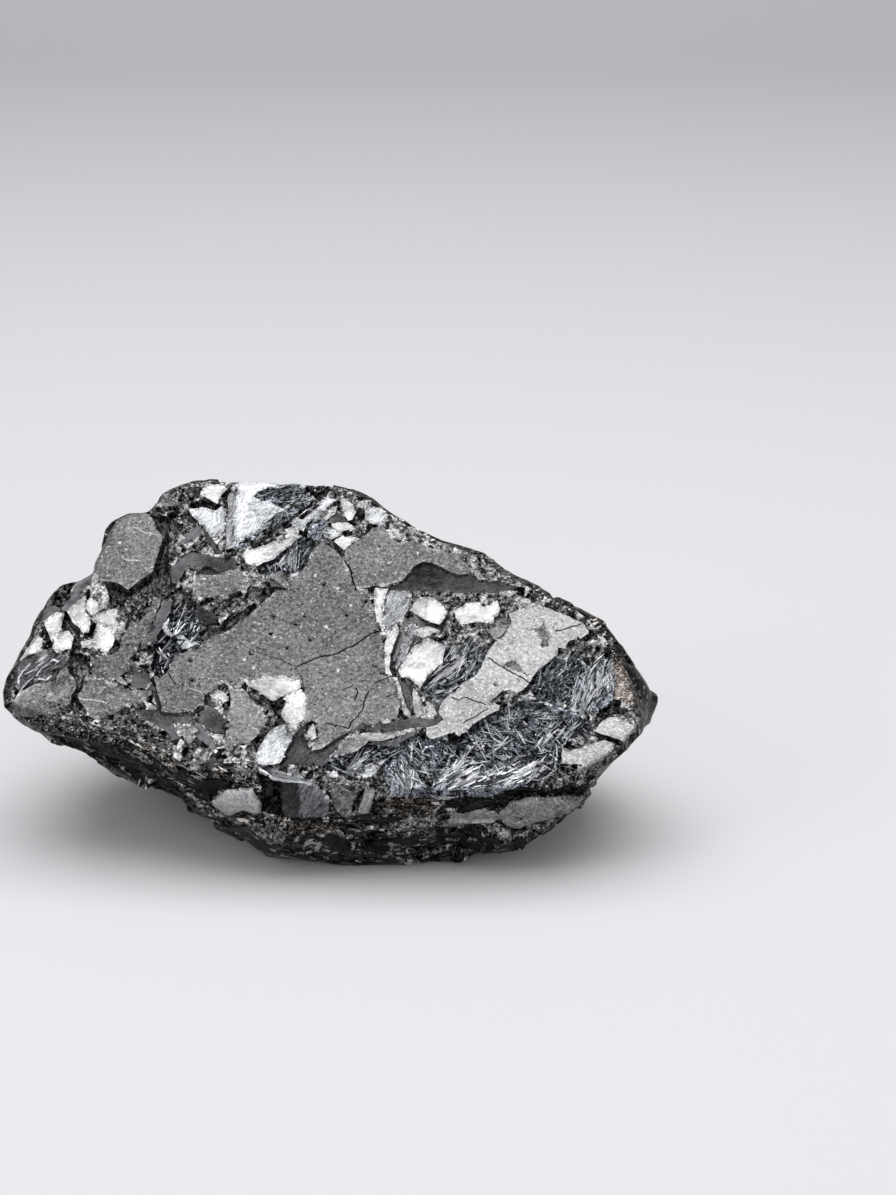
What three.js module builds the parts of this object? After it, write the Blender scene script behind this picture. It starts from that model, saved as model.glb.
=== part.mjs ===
// Specular hematite hand specimen: one broken piece of massive specularite with a broad, flat
// parting face. Millimetres, +Z up, +X along the length, -Y towards the parting face's low side.
// The stone is the common inside of its cleavage planes and of the outline of its parting face,
// with worn edges, a hackly skin, and the larger hollows that are broken out of the face.
import * as THREE from "three";
import { mergeVertices } from "three/addons/utils/BufferGeometryUtils.js";

// Driving dimensions.
const CENTRE = new THREE.Vector3(0, 5, 32); // inside point that every radius is measured from
const FACE_TILT = 33.5; // slope of the parting face, in degrees from level
const FACE_POINT = new THREE.Vector3(0, -4.5, 57.5); // middle of the parting face
const EDGE_WEAR = 60; // exponent of the soft minimum: larger is sharper
const SHELL_DETAIL = 18; // icosahedron detail: 20 * (detail + 1)^2 triangles
const RELAX_ROUNDS = 60; // rounds that even out the triangle sizes
const SKIN_FADE = 4; // the skin grows to full height this far below the parting face
const HOLLOW_REACH = 8; // nothing further below the parting face is sunk by a hollow
const HOLLOW_WALL = 0.7; // share of a hollow's radius that its sloping wall takes
const SAME_POINT = 1e-4; // vertices of the unit ball that are closer than this are one

// Hackly skin: half height and size of the bumps, from large to small.
const SKIN = [
  { bump: 1.1, size: 15 },
  { bump: 0.7, size: 7 },
];

// Cleavage planes: azimuth of the normal (0 faces -Y, 90 faces +X), its elevation, and its
// distance from CENTRE.
const CLEAVAGES = [
  { name: "parting face", azimuth: 0, elevation: 56.5, distance: 26.5 },
  { name: "right flank", azimuth: 72, elevation: 38, distance: 75 },
  { name: "front left", azimuth: -25.5, elevation: -30, distance: 53 },
  { name: "front middle", azimuth: -3.5, elevation: 5, distance: 51 },
  { name: "front right", azimuth: 24, elevation: -5, distance: 70 },
  { name: "front foot", azimuth: 4, elevation: -25, distance: 52.5 },
  { name: "under left", azimuth: -62.6, elevation: -58.2, distance: 42 },
  { name: "under left foot", azimuth: -30, elevation: -66, distance: 43 },
  { name: "under right", azimuth: 72, elevation: -42, distance: 64 },
  { name: "under right foot", azimuth: 55, elevation: -62, distance: 52 },
  { name: "right end", azimuth: 96, elevation: 12, distance: 83 },
  { name: "back upper", azimuth: 176, elevation: 20, distance: 48 },
  { name: "back", azimuth: 184, elevation: 4, distance: 42.5 },
  { name: "back foot", azimuth: 178, elevation: -32, distance: 42 },
  { name: "back left", azimuth: -146, elevation: 16, distance: 65 },
  { name: "back left foot", azimuth: -138, elevation: -24, distance: 60 },
  { name: "back right foot", azimuth: 132, elevation: -18, distance: 62 },
];

// Outline of the parting face, in the face's own u (along +X) and v (up the slope), round from
// the left tip. The walls below it run square to the face.
const OUTLINE = [
  [-89, -29], [-88.5, -19], [-86.5, -11], [-83, -3], [-82, 4], [-79.5, 11], [-76, 16.5],
  [-70, 18.5], [-69, 23.5], [-67, 31.5], [-63.5, 38.5], [-59, 41], [-54.5, 41], [-52.5, 46],
  [-49, 50.5], [-42, 52.5], [-34, 54.5], [-24, 55.5], [-14, 54.5], [-6, 52.5], [1, 50], [9, 45],
  [15, 40], [21, 35.5], [28, 31], [42, 24.5], [48, 19], [54, 15.5], [61, 10.5], [69.5, 5.5],
  [75.5, 0], [80.5, -7.5], [85.5, -14], [90, -22], [92, -30], [91, -37], [87.5, -42],
  [82, -49], [75, -54.5], [66, -60], [40, -63], [0, -63], [-30, -60], [-60, -52], [-80, -42],
];

// Hollows broken out of the parting face: middle, half length, half width, turn from u and depth.
const HOLLOWS = [
  { u: -36, v: 8, length: 19, width: 9, turn: 32, depth: 4.5 },
  { u: -46, v: 26, length: 16, width: 8, turn: 82, depth: 4 },
  { u: 24, v: -4, length: 18, width: 10, turn: -68, depth: 4 },
  { u: 44, v: -33, length: 27, width: 11, turn: 14, depth: 3.5 },
  { u: -66, v: 0, length: 15, width: 8, turn: 60, depth: 3 },
  { u: -16, v: -34, length: 13, width: 8, turn: -60, depth: 3.5 },
  { u: -14, v: 36, length: 22, width: 9, turn: 18, depth: 2.5 },
];

const radians = THREE.MathUtils.degToRad;

function directionOf(azimuth, elevation) {
  const a = radians(azimuth);
  const e = radians(elevation);
  return new THREE.Vector3(Math.sin(a) * Math.cos(e), -Math.cos(a) * Math.cos(e), Math.sin(e));
}

const faceNormal = directionOf(0, 90 - FACE_TILT);
const faceU = new THREE.Vector3(1, 0, 0);
const faceV = new THREE.Vector3().crossVectors(faceNormal, faceU);

// A point in the parting face's own coordinates: u, v, and height above the face.
function onFace(point) {
  const p = point.clone().sub(FACE_POINT);
  return { u: p.dot(faceU), v: p.dot(faceV), height: p.dot(faceNormal) };
}

const planes = CLEAVAGES.map(({ azimuth, elevation, distance }) => ({
  normal: directionOf(azimuth, elevation),
  distance,
}));
const middle = onFace(CENTRE);

// How far the outline is from the middle along one direction in the face.
function outlineReach(du, dv) {
  let reach = Infinity;
  OUTLINE.forEach(([u0, v0], i) => {
    const [u1, v1] = OUTLINE[(i + 1) % OUTLINE.length];
    const [au, av] = [u0 - middle.u, v0 - middle.v];
    const [eu, ev] = [u1 - u0, v1 - v0];
    const cross = du * ev - dv * eu;
    const along = (au * ev - av * eu) / cross;
    const share = (au * dv - av * du) / cross;
    if (along > 0 && share >= 0 && share <= 1) reach = Math.min(reach, along);
  });
  return reach;
}

// Radius of the stone along a unit direction: a soft minimum of every plane and of the outline.
function radiusAlong(direction) {
  const outline = outlineReach(direction.dot(faceU), direction.dot(faceV));
  let sum = Number.isFinite(outline) ? outline ** -EDGE_WEAR : 0;
  for (const { normal, distance } of planes) {
    const facing = normal.dot(direction);
    if (facing > 0) sum += (distance / facing) ** -EDGE_WEAR;
  }
  return sum ** (-1 / EDGE_WEAR);
}

// Smooth value noise, -1 to 1, from a fixed hash of the lattice points.
function lattice(x, y, z) {
  const s = Math.sin(x * 127.1 + y * 311.7 + z * 74.7) * 43758.5453;
  return 2 * (s - Math.floor(s)) - 1;
}

function noise(point) {
  const cell = point.clone().floor();
  const f = point.clone().sub(cell);
  const fade = [f.x, f.y, f.z].map((t) => t * t * (3 - 2 * t));
  let total = 0;
  for (let corner = 0; corner < 8; corner++) {
    const bits = [corner & 1, (corner >> 1) & 1, (corner >> 2) & 1];
    const weight = bits.reduce((w, bit, i) => w * (bit ? fade[i] : 1 - fade[i]), 1);
    total += weight * lattice(cell.x + bits[0], cell.y + bits[1], cell.z + bits[2]);
  }
  return total;
}

// The stone's surface along a unit direction, with its skin and its flat foot at z = 0, but
// without the hollows.
function surfacePoint(direction) {
  const bareRadius = radiusAlong(direction);
  const bare = CENTRE.clone().addScaledVector(direction, bareRadius);
  const offFace = THREE.MathUtils.clamp(-onFace(bare).height / SKIN_FADE, 0, 1);
  const bump = SKIN.reduce(
    (sum, layer) => sum + layer.bump * noise(bare.clone().divideScalar(layer.size)),
    0,
  );
  const radius = bareRadius + bump * offFace;
  const toFoot = direction.z < 0 ? -CENTRE.z / direction.z : Infinity;
  return CENTRE.clone().addScaledVector(direction, Math.min(radius, toFoot));
}

// A point of the face sunk by the hollows it lies in.
function sink(point) {
  const { u, v, height } = onFace(point);
  if (height < -HOLLOW_REACH) return point;
  let depth = 0;
  for (const hollow of HOLLOWS) {
    const t = radians(hollow.turn);
    const [du, dv] = [u - hollow.u, v - hollow.v];
    const along = (du * Math.cos(t) + dv * Math.sin(t)) / hollow.length;
    const across = (dv * Math.cos(t) - du * Math.sin(t)) / hollow.width;
    const inside = 1 - Math.hypot(along, across);
    depth = Math.max(depth, hollow.depth * THREE.MathUtils.smoothstep(inside, 0, HOLLOW_WALL));
  }
  return point.addScaledVector(faceNormal, -depth);
}

// A closed shell of nearly even triangles: each round moves every vertex to the middle of its
// neighbours and back onto the stone. The origin ends up under the middle of the stone.
function buildStone() {
  const ball = new THREE.IcosahedronGeometry(1, SHELL_DETAIL);
  ball.deleteAttribute("normal");
  ball.deleteAttribute("uv");
  const geometry = mergeVertices(ball, SAME_POINT);
  const position = geometry.getAttribute("position");
  const index = geometry.getIndex().array;
  const neighbours = Array.from({ length: position.count }, () => new Set());
  for (let i = 0; i < index.length; i += 3) {
    for (let k = 0; k < 3; k++) {
      neighbours[index[i + k]].add(index[i + ((k + 1) % 3)]);
      neighbours[index[i + k]].add(index[i + ((k + 2) % 3)]);
    }
  }
  let points = Array.from({ length: position.count }, (_, i) =>
    surfacePoint(new THREE.Vector3().fromBufferAttribute(position, i).normalize()),
  );
  for (let round = 0; round < RELAX_ROUNDS; round++) {
    points = points.map((_, i) => {
      const mean = new THREE.Vector3();
      neighbours[i].forEach((j) => mean.add(points[j]));
      mean.divideScalar(neighbours[i].size);
      return surfacePoint(mean.sub(CENTRE).normalize());
    });
  }
  points.forEach((point, i) => position.setXYZ(i, ...sink(point)));
  const box = new THREE.Box3().setFromBufferAttribute(position);
  const middleOfBox = box.getCenter(new THREE.Vector3());
  geometry.translate(-middleOfBox.x, -middleOfBox.y, -box.min.z);
  geometry.computeVertexNormals();
  return geometry;
}

function hematiteMaterial() {
  return new THREE.MeshStandardMaterial({
    color: new THREE.Color(0.3, 0.3, 0.31),
    metalness: 0.85,
    roughness: 0.42,
  });
}

const stone = new THREE.Mesh(buildStone(), hematiteMaterial());
stone.name = "hematite_stone";

const specimen = new THREE.Group();
specimen.add(stone);

export default specimen;
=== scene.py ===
import itertools
import math
from collections import namedtuple

import bmesh
import bpy
import numpy as np
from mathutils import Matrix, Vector
from mathutils.bvhtree import BVHTree
from mathutils.geometry import delaunay_2d_cdt
from mathutils.kdtree import KDTree


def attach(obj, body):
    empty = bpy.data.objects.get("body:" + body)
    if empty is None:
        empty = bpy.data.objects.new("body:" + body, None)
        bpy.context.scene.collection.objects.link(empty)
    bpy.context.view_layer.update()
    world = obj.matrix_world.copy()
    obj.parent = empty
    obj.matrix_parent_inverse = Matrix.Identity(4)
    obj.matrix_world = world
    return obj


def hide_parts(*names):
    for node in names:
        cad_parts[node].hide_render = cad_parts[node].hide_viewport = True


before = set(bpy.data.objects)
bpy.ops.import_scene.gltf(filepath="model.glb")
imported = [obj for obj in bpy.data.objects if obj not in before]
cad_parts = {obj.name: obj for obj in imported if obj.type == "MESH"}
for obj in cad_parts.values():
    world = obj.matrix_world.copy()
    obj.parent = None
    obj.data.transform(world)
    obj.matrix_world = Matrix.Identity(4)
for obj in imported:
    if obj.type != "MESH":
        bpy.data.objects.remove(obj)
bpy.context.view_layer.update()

MM = 0.001

# The parting face: its slope, the point that u and v are measured from, and their directions.
FACE_TILT = math.radians(33.5)
FACE_POINT = np.array([2.11, -5.07, 57.5])
FACE_U = np.array([1.0, 0.0, 0.0])
FACE_V = np.array([0.0, math.cos(FACE_TILT), math.sin(FACE_TILT)])
FACE_N = np.array([0.0, -math.sin(FACE_TILT), math.cos(FACE_TILT)])

# Mesh of the parting face: spacing, spacing along cracks, the least distance between drawn points
# and from them to the rim, the size of the cells round them that are kept free, how far a line
# runs on under a higher patch, and how near one place two vertices are merged.
FACE_STEP = 0.52
CRACK_STEP = 0.42
SAME_PLACE = 0.24
RIM_GAP = 0.35
FREE_CELL = 0.3
LINE_OVERLAP = 0.6
MERGE_DISTANCE = 1e-5

# Width of the band in which the face runs into the CAD stone's worn edge, how far below the face's
# plane the stone may be cut there, how far down rock counts as near the face, and how far from the
# rim it is no longer any different.
EDGE_BLEND = 2.2
RIM_DROP = 3.0
NEAR_FACE = 12
FAR_FROM_RIM = 9.0

# Rest of the stone: mesh spacing by the rim, on the front, elsewhere and where it is cut away, half
# the width and the depth of the rim's band, the depth of the part that is cut away, the spacing of
# the outlines and of the streaks on the front, and how many times its step an edge may be long.
RIM_STEP = 0.62
FRONT_STEP = 0.75
BACK_STEP = 1.8
CUT_STEP = 5.0
RIM_BAND = 3.5
RIM_DEPTH = 8
CUT_DEPTH = 9
FRONT_OUTLINE_STEP = 0.6
STREAK_STEP = 0.5
LONG_EDGE = 1.38

# Size and seed of shards: of the rock, large and small, of the broken ground of the face and its
# chips, and of grainy and fibrous patches. A large shard above PLATE_FROM is a flat plate.
LARGE_SHARDS = (12.0, 61)
SMALL_SHARDS = (4.5, 62)
GROUND_SHARDS = (2.0, 31)
GROUND_CHIPS = (0.9, 32)
GRAIN_SHARDS = (1.4, 43)
FIBRE_SHARDS = (2.6, 47)
PLATE_FROM = 0.25

# Dents and swellings of the rock: middle, how far that is moved, and reach.
DENTS = [
    ((-70, 14, 66), (2.6, -0.6, -1.4), 8.4),
    ((-51.4, 30.2, 78.5), (1.6, -0.8, -1.8), 3.8),
    ((-64.9, 19.4, 71.3), (1.6, -0.4, -0.8), 6.7),
    ((87, -13, 41), (2.2, 0.0, 0.8), 6.0),
]

# Edge of the part of the surface that is meshed and broken up as the parting face.
FACE_EDGE = [
    (-87.5, -28), (-87, -19), (-85.5, -13), (-82, -4), (-81, 4), (-77.8, 10), (-76, 13.7),
    (-71, 14.7), (-67.3, 17.5), (-67, 21), (-65.4, 26), (-63.9, 31.7), (-61.6, 36.4),
    (-58.6, 38.3), (-53.4, 39), (-51.5, 42), (-48.5, 46.5), (-46.3, 48), (-41, 48.7), (-34, 51.3),
    (-25, 52.5), (-12, 51.4), (-5, 50.5), (0, 48.5), (5, 45.5), (10, 41.7), (15, 38), (20, 33.7),
    (26, 30), (33, 26.3), (38, 24.5), (41, 22.5), (45, 17.5), (50, 15), (56, 10.5), (60, 8),
    (66, 5), (70, 1), (74, -5), (77, -10), (80, -16), (82.3, -23), (85, -29), (84.5, -35),
    (81.5, -39), (78, -44), (72, -49), (66, -51.5), (50, -51.5), (42, -53.5), (30, -54.5),
    (20, -53.8), (10, -52), (0, -52.5), (-5, -51), (-15, -49.6), (-20, -46.5), (-26, -44.5),
    (-31, -46), (-39, -44.5), (-45, -40.5), (-50, -38), (-60, -34), (-66, -31.5), (-78, -30),
]

# How each finish shines and lies: roughness, sandy grit, streaks along the grain, tint from rust
# (-1) to blue (1), half height of its small relief, share of a patch's height that is built on the
# parting face, tilt of a patch, turn of the grain in degrees and size of the bundles that turn, and
# the share of the rock's relief that a patch of the front keeps.
Finish = namedtuple("Finish", "roughness grit streak tint relief rise tilt turn bundle kept")
FINISHES = {
    "matte": Finish(0.50, 0.46, 0.00, 0.03, 0.03, 0.5, 0.2, 9.0, 6.0, 0.15),
    "satin": Finish(0.44, 0.42, 0.08, 0.03, 0.05, 0.5, 1.0, 9.0, 6.0, 0.15),
    "bright": Finish(0.42, 0.24, 0.18, 0.03, 0.06, 0.5, 1.0, 9.0, 6.0, 0.15),
    "blade": Finish(0.40, 0.24, 0.36, 0.12, 0.10, 0.5, 1.0, 9.0, 6.0, 0.15),
    "slate": Finish(0.42, 0.14, 0.10, 0.12, 0.06, 0.5, 1.0, 9.0, 6.0, 0.15),
    "grain": Finish(0.46, 1.00, 0.15, 0.03, 0.30, 0.5, 1.0, 60.0, 2.0, 0.5),
    "fibre": Finish(0.42, 0.95, 0.40, 0.42, 0.13, 0.5, 1.0, 30.0, 5.5, 0.15),
    "hole": Finish(0.55, 0.45, 0.40, 0.03, 0.28, 0.7, 0.3, 35.0, 3.5, 0.5),
    "rust": Finish(0.55, 0.90, 0.20, -0.60, 0.20, 0.5, 1.0, 9.0, 6.0, 0.5),
}

# Patches of the parting face, lowest first: finish, brightness from black to white, height
# over the face, direction of the grain in degrees from u, and the outline in u and v. The
# brightness is the patch's own tone together with painted reflection: facets that would mirror
# the light are painted bright.
Patch = namedtuple("Patch", "finish brightness height grain outline")
PATCHES = [Patch(*row) for row in [
    # Left lobe.
    ("slate", 0.33, -0.6, 60, [(-82, 2), (-80.5, 7), (-78, 11), (-77, 8.5), (-74.8, 5.5), (-78, 3),
     (-79.5, 1)]),
    ("grain", 0.14, -1.6, 60, [(-78, 10), (-76, 15), (-72, 15.5), (-73, 9), (-75, 6), (-77.5, 7)]),
    ("slate", 0.38, -0.8, 50, [(-71, 15), (-67, 18), (-67.5, 14), (-69, 12.5), (-70.5, 9),
     (-73.3, 5), (-75, 5.5), (-73, 9.5)]),
    ("bright", 0.84, -0.8, 60, [(-79.5, 1), (-77, 4), (-75.5, 5), (-74.5, 3.5), (-74.5, -0.5),
     (-75.5, -2.5), (-76.5, -5.5), (-78, -3.5), (-78.5, -1)]),
    ("hole", 0.31, -3.2, 60, [(-74.3, 5), (-72.5, 5), (-71, 1), (-69.5, -3), (-69, -7), (-69.5, -9),
     (-71.5, -9.5), (-71, -5), (-72, -1), (-74, -1)]),
    ("bright", 0.90, -0.2, 60, [(-75, -2.2), (-72, -2), (-70.8, -4.5), (-71.3, -7.5), (-73.2, -8.7),
     (-76.3, -7.5), (-76, -5)]),
    ("bright", 0.82, -0.5, 65, [(-73.3, 5), (-71.5, 7.5), (-70, 9.7), (-68.7, 10.3), (-68.3, 7),
     (-68.5, 5), (-67, 2.5), (-66.5, 0), (-67, -2.8), (-68.8, -2.8), (-70, -1), (-72, 2)]),
    ("bright", 0.82, -0.9, 65, [(-68, 9), (-65.5, 8.8), (-65, 5), (-66, 2.8), (-67.5, 4.5),
     (-68.3, 5.8)]),
    ("bright", 0.74, -1, 60, [(-65, 10), (-63.3, 11.8), (-61.8, 7.5), (-63, 6), (-64.8, 5.5)]),
    ("bright", 0.76, -0.8, 60, [(-65.5, 4), (-62, 5.5), (-60, 5.5), (-59.5, 2), (-59.8, -0.3),
     (-64.8, 0.4), (-66.3, 1.5)]),
    ("bright", 0.88, -0.4, 70, [(-64.8, 0.6), (-60, -0.3), (-59.9, -5), (-60.4, -7.2), (-62, -8.9),
     (-65, -7.5), (-65.8, -3.5)]),
    ("bright", 0.84, -0.8, 10, [(-68.8, -5.2), (-65.8, -4.8), (-65.5, -7.3), (-68.6, -7.3)]),
    ("bright", 0.88, -0.6, 60, [(-82, -3), (-79.5, -4), (-79.3, -6.5), (-81, -9), (-83, -11),
     (-86, -12), (-84, -9.3), (-82.5, -6)]),
    ("blade", 0.24, -0.9, 55, [(-85.5, -12), (-82, -9.5), (-79, -7.5), (-76.5, -8), (-77, -11.5),
     (-80, -15), (-84, -22.5), (-87, -18)]),
    ("blade", 0.20, -1.4, 55, [(-76.5, -8), (-74.5, -9.5), (-72, -10), (-71, -13), (-73, -16),
     (-76, -18), (-79.5, -19), (-84, -22.8), (-80, -15), (-77, -11.5)]),
    ("bright", 0.65, -0.8, 40, [(-77.9, -9.0), (-77.2, -9.6), (-79.8, -12.4), (-80.5, -11.9)]),
    ("satin", 0.47, 0.1, 20, [(-84.5, -23), (-80, -19.5), (-75, -18), (-74.8, -20.5), (-73, -23.5),
     (-73, -25.5), (-74, -27), (-72, -28.3), (-74, -29.3), (-80, -29.7), (-85, -29), (-85.3, -26)]),
    ("satin", 0.43, -0.2, 70, [(-74.5, -17), (-73, -14.5), (-71.5, -13.7), (-71, -16), (-69, -18.5),
     (-69.2, -21), (-70.2, -23), (-70.2, -26), (-72, -27), (-72.8, -24), (-74.8, -20)]),
    ("bright", 0.56, -0.5, 40, [(-76.5, -23), (-75, -22), (-73.2, -24), (-73.5, -25.5),
     (-76.5, -24.8)]),
    ("grain", 0.30, -1, 80, [(-88, -13), (-85.8, -13), (-86.6, -20), (-85.6, -26), (-85.2, -30),
     (-88, -30)]),
    ("hole", 0.31, -3.4, 60, [(-71.8, -8.5), (-69.5, -9.5), (-68, -10.5), (-66.3, -12.3),
     (-65, -15.5), (-66.8, -16), (-67.5, -19), (-68.3, -23), (-67.8, -27), (-69, -28.5),
     (-70, -26.5), (-69.8, -22.5), (-68.8, -19.5), (-71.3, -15.5), (-71, -13)]),
    ("grain", 0.45, -1, 0, [(-70.5, -8.5), (-67, -8), (-63.5, -9), (-60.5, -10), (-66.5, -10.5)]),
    # Middle left plates.
    ("grain", 0.36, -2.6, 60, [(-62.3, 10.5), (-59, 9), (-57.2, 10.8), (-54, 12), (-45, 13),
     (-40, 10.5), (-38, 6.3), (-42, 5), (-46, 2), (-50, 2), (-56, 0), (-60, 2), (-60, 5.5),
     (-63, 6)]),
    ("grain", 0.42, -2.4, 45, [(-55, -12), (-50, -14), (-47.5, -17), (-49, -21.5), (-52, -24.5),
     (-56, -24), (-58, -18), (-55, -15)]),
    ("matte", 0.47, -0.2, 60, [(-66.3, -11), (-60.5, -10), (-58, -7.5), (-57, -3), (-55.5, 1.5),
     (-54.2, 0), (-52, 3), (-50.5, 6.5), (-49.8, 9.5), (-47.7, 8.7), (-49.3, 3), (-51.5, -4),
     (-53.5, -8), (-55, -11), (-54.8, -14.5), (-56.8, -16.5), (-58, -17.8), (-62, -17.3),
     (-64.8, -16.5), (-65, -14.5)]),
    ("slate", 0.33, -1.2, 65, [(-47.3, 8.7), (-45, 8), (-45.2, 4.5), (-46.3, 0.5), (-47.8, -2.5),
     (-50.5, -5.5), (-51, -7.3), (-52.8, -7.7), (-51, -4), (-49.5, 1)]),
    ("matte", 0.50, 0, 20, [(-66.5, -17), (-62, -17.5), (-58.5, -19), (-55, -21), (-51, -21.5),
     (-48.8, -21.8), (-48.5, -23), (-51, -25), (-55, -25.5), (-56.5, -27.5), (-58, -29.2),
     (-60, -29.5), (-64.5, -30), (-65.5, -28), (-67.5, -25), (-67.8, -23.5), (-66.8, -20)]),
    ("grain", 0.60, -0.6, 20, [(-66.4, -16.6), (-62, -17.2), (-58.6, -18.6), (-55, -20.6),
     (-51.2, -21.2), (-55, -21.5), (-58.7, -19.6), (-62, -18.1), (-66.4, -17.4)]),
    ("bright", 0.82, -0.4, 20, [(-58.8, -17.8), (-57, -16.8), (-55.3, -19.5), (-57, -19)]),
    ("grain", 0.50, -1.2, 20, [(-54, -8.5), (-50, -8.5), (-48, -10), (-49.5, -13), (-53.5, -12)]),
    ("hole", 0.31, -3.6, 20, [(-53, -13), (-50.5, -12.8), (-49.7, -14), (-51, -14.5)]),
    ("slate", 0.28, -1.8, 0, [(-54, -15), (-50, -14.5), (-49.5, -18), (-50.5, -20), (-54.5, -20)]),
    # Top left chunk, with the deep fissure at its right and the pocket under it.
    ("hole", 0.31, -3.9, 80, [(-52.3, 39), (-50.5, 38.5), (-48, 37.5), (-47.3, 32.3), (-46.4, 30.2),
     (-47.3, 24), (-46.7, 20), (-45, 16.5), (-44.8, 13), (-50, 12.5), (-54, 11.6), (-57.5, 9.6),
     (-58.6, 7.9), (-61.7, 7.4), (-62.6, 10.5), (-63.6, 14.4), (-59.8, 15), (-54, 16), (-50, 20),
     (-49, 30)]),
    ("matte", 0.50, 0.3, 30, [(-61.8, 37), (-58.6, 39), (-56.5, 39), (-52.5, 38), (-50.6, 33),
     (-48.8, 30.3), (-49.6, 24.5), (-50.9, 18.3), (-54.8, 14.5), (-57.2, 11.8), (-59.8, 14.5),
     (-63.4, 14.8), (-67.5, 17.3), (-68, 20), (-66, 26), (-64.5, 32)]),
    ("hole", 0.31, -3.4, 80, [(-48.9, 37.3), (-47.2, 37.6), (-45, 36), (-43.6, 33.8), (-45.7, 32.3),
     (-48.6, 34.4)]),
    ("grain", 0.42, -1.4, 80, [(-47, 32), (-44.2, 31.5), (-43, 27), (-43.3, 22.5), (-46.4, 21),
     (-46.8, 24.5), (-45.9, 30)]),
    ("grain", 0.28, -1, 60, [(-52.5, 39.5), (-51.8, 43), (-49, 47.5), (-46.5, 49.5), (-41, 49.5),
     (-38, 46.5), (-43, 42), (-45, 38.5)]),
    ("satin", 0.43, 0.2, 60, [(-50.3, 41), (-49.8, 44.5), (-47.5, 46), (-46, 44), (-46.5, 40.8)]),
    # Dark fibrous cavities left of the main plate.
    ("fibre", 0.10, -4.2, 50, [(-47.3, -2.7), (-43.5, -4.3), (-42, -6), (-40, -7.8), (-36.8, -8),
     (-40, -9), (-43, -10), (-43.3, -12), (-44.3, -14), (-47, -17.3), (-48.3, -16), (-49.3, -14),
     (-49, -11), (-48.5, -8), (-49.3, -5.8)]),
    ("fibre", 0.16, -3, 75, [(-45, 5), (-42.5, 5), (-40, 6), (-38, 6.2), (-36, 0.5), (-36.5, -4),
     (-36.3, -7), (-40, -7.8), (-42, -5.5), (-43.5, -4), (-46, -2.5), (-47.5, -1.5), (-46.5, 1)]),
    ("blade", 0.65, -1.8, 75, [(-47, 0.5), (-45.3, 3), (-45.3, 0), (-43.6, -4), (-46.3, -2.3)]),
    ("blade", 0.65, -2, -20, [(-43.3, -2.3), (-41.5, -2.3), (-40, -4.2), (-36.3, -6.2),
     (-39.5, -7.7), (-41.3, -7.2), (-43.3, -4.7)]),
    ("hole", 0.31, -3.4, 45, [(-23.5, 13.7), (-20, 13.2), (-13.5, 12.8), (-16.3, 11.8),
     (-19.8, 7.6), (-25, 1.8), (-29, -2.3), (-31.8, -3.3), (-35.3, -5.3), (-37, -2.5), (-35, 0),
     (-31, 0), (-29, 3.5), (-26, 8), (-25, 11)]),
    ("slate", 0.20, -1.8, 10, [(-38, 6.3), (-36, 6.2), (-33.5, 4.5), (-31, 0.5), (-33.5, 0.8),
     (-36, 0.5), (-38, 2)]),
    ("grain", 0.42, -1.6, 40, [(-34, 8), (-31.5, 9.5), (-28, 10), (-25, 9.5), (-22.5, 8), (-25, 6),
     (-28, 4), (-30.5, 4), (-33.5, 7)]),
    # Upper left, between the fissure and the main plate.
    ("matte", 0.50, -0.4, 20, [(-38.7, 17), (-34, 17.2), (-30, 18.5), (-27, 19.3), (-25, 16),
     (-23.5, 14), (-24.5, 12.5), (-30, 10.5), (-37, 9), (-39.5, 10.5), (-39.3, 13)]),
    ("grain", 0.65, -1, 75, [(-41.5, 19.5), (-39, 20.5), (-37.5, 20.3), (-39, 18.5), (-39.5, 15),
     (-41, 10.8), (-42, 12), (-42.3, 15)]),
    ("slate", 0.30, -0.6, 10, [(-42, 24.5), (-38, 25), (-33, 23.7), (-28.2, 23), (-27.3, 21.3),
     (-28.5, 19.5), (-31.5, 17.8), (-36, 20.5), (-40.5, 20), (-42, 18.5), (-43.5, 13.5), (-45, 14),
     (-46, 18), (-44.5, 22.5)]),
    ("slate", 0.18, -1.8, 10, [(-37.5, 20), (-36, 20.7), (-31.5, 17.7), (-34, 17), (-38.8, 17)]),
    ("slate", 0.30, -1, 60, [(-38, 33.5), (-36.5, 32.5), (-35, 30), (-32.3, 26), (-31.5, 24.5),
     (-34, 24.8), (-37.2, 30)]),
    ("slate", 0.38, -0.8, 40, [(-42, 32), (-40.5, 34), (-38.5, 34), (-38, 31), (-41, 28.5),
     (-44, 27), (-44.5, 28.5)]),
    ("grain", 0.38, -0.8, 0, [(-43.5, 35), (-42, 36.8), (-40, 37), (-39, 35.5), (-40.5, 33),
     (-43, 32)]),
    ("bright", 0.79, -0.9, 0, [(-43.7, 32), (-42, 30), (-44.5, 28.5)]),
    ("hole", 0.31, -2.8, 60, [(-42.5, 25.5), (-40.5, 27), (-39.5, 28.7), (-38.6, 26.3)]),
    ("grain", 0.72, -0.3, 20, [(-45.7, 20.5), (-44.2, 23.5), (-41, 25.9), (-37, 26.9), (-37, 26.2),
     (-41, 25), (-43.7, 22.5), (-45, 20.5)]),
    ("bright", 0.86, -0.6, 30, [(-39, 46.5), (-37.5, 48.8), (-33, 49.3), (-31.5, 47.5),
     (-33.8, 43.5), (-34, 42), (-37, 43.8), (-39, 45)]),
    ("hole", 0.31, -3.2, 10, [(-43, 41.5), (-41, 43.1), (-37, 43.6), (-35, 41.5), (-34, 40),
     (-40, 40.8)]),
    ("blade", 0.75, -0.8, 80, [(-42.5, 40.3), (-38, 40.3), (-34.5, 39.7), (-32.5, 41), (-31.3, 39),
     (-31, 33), (-33, 32), (-34, 30), (-35.3, 29.8), (-38.5, 35), (-40, 37)]),
    ("hole", 0.29, -3, 70, [(-32.5, 44.8), (-31, 47), (-30.2, 47.3), (-32, 41.5)]),
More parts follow.
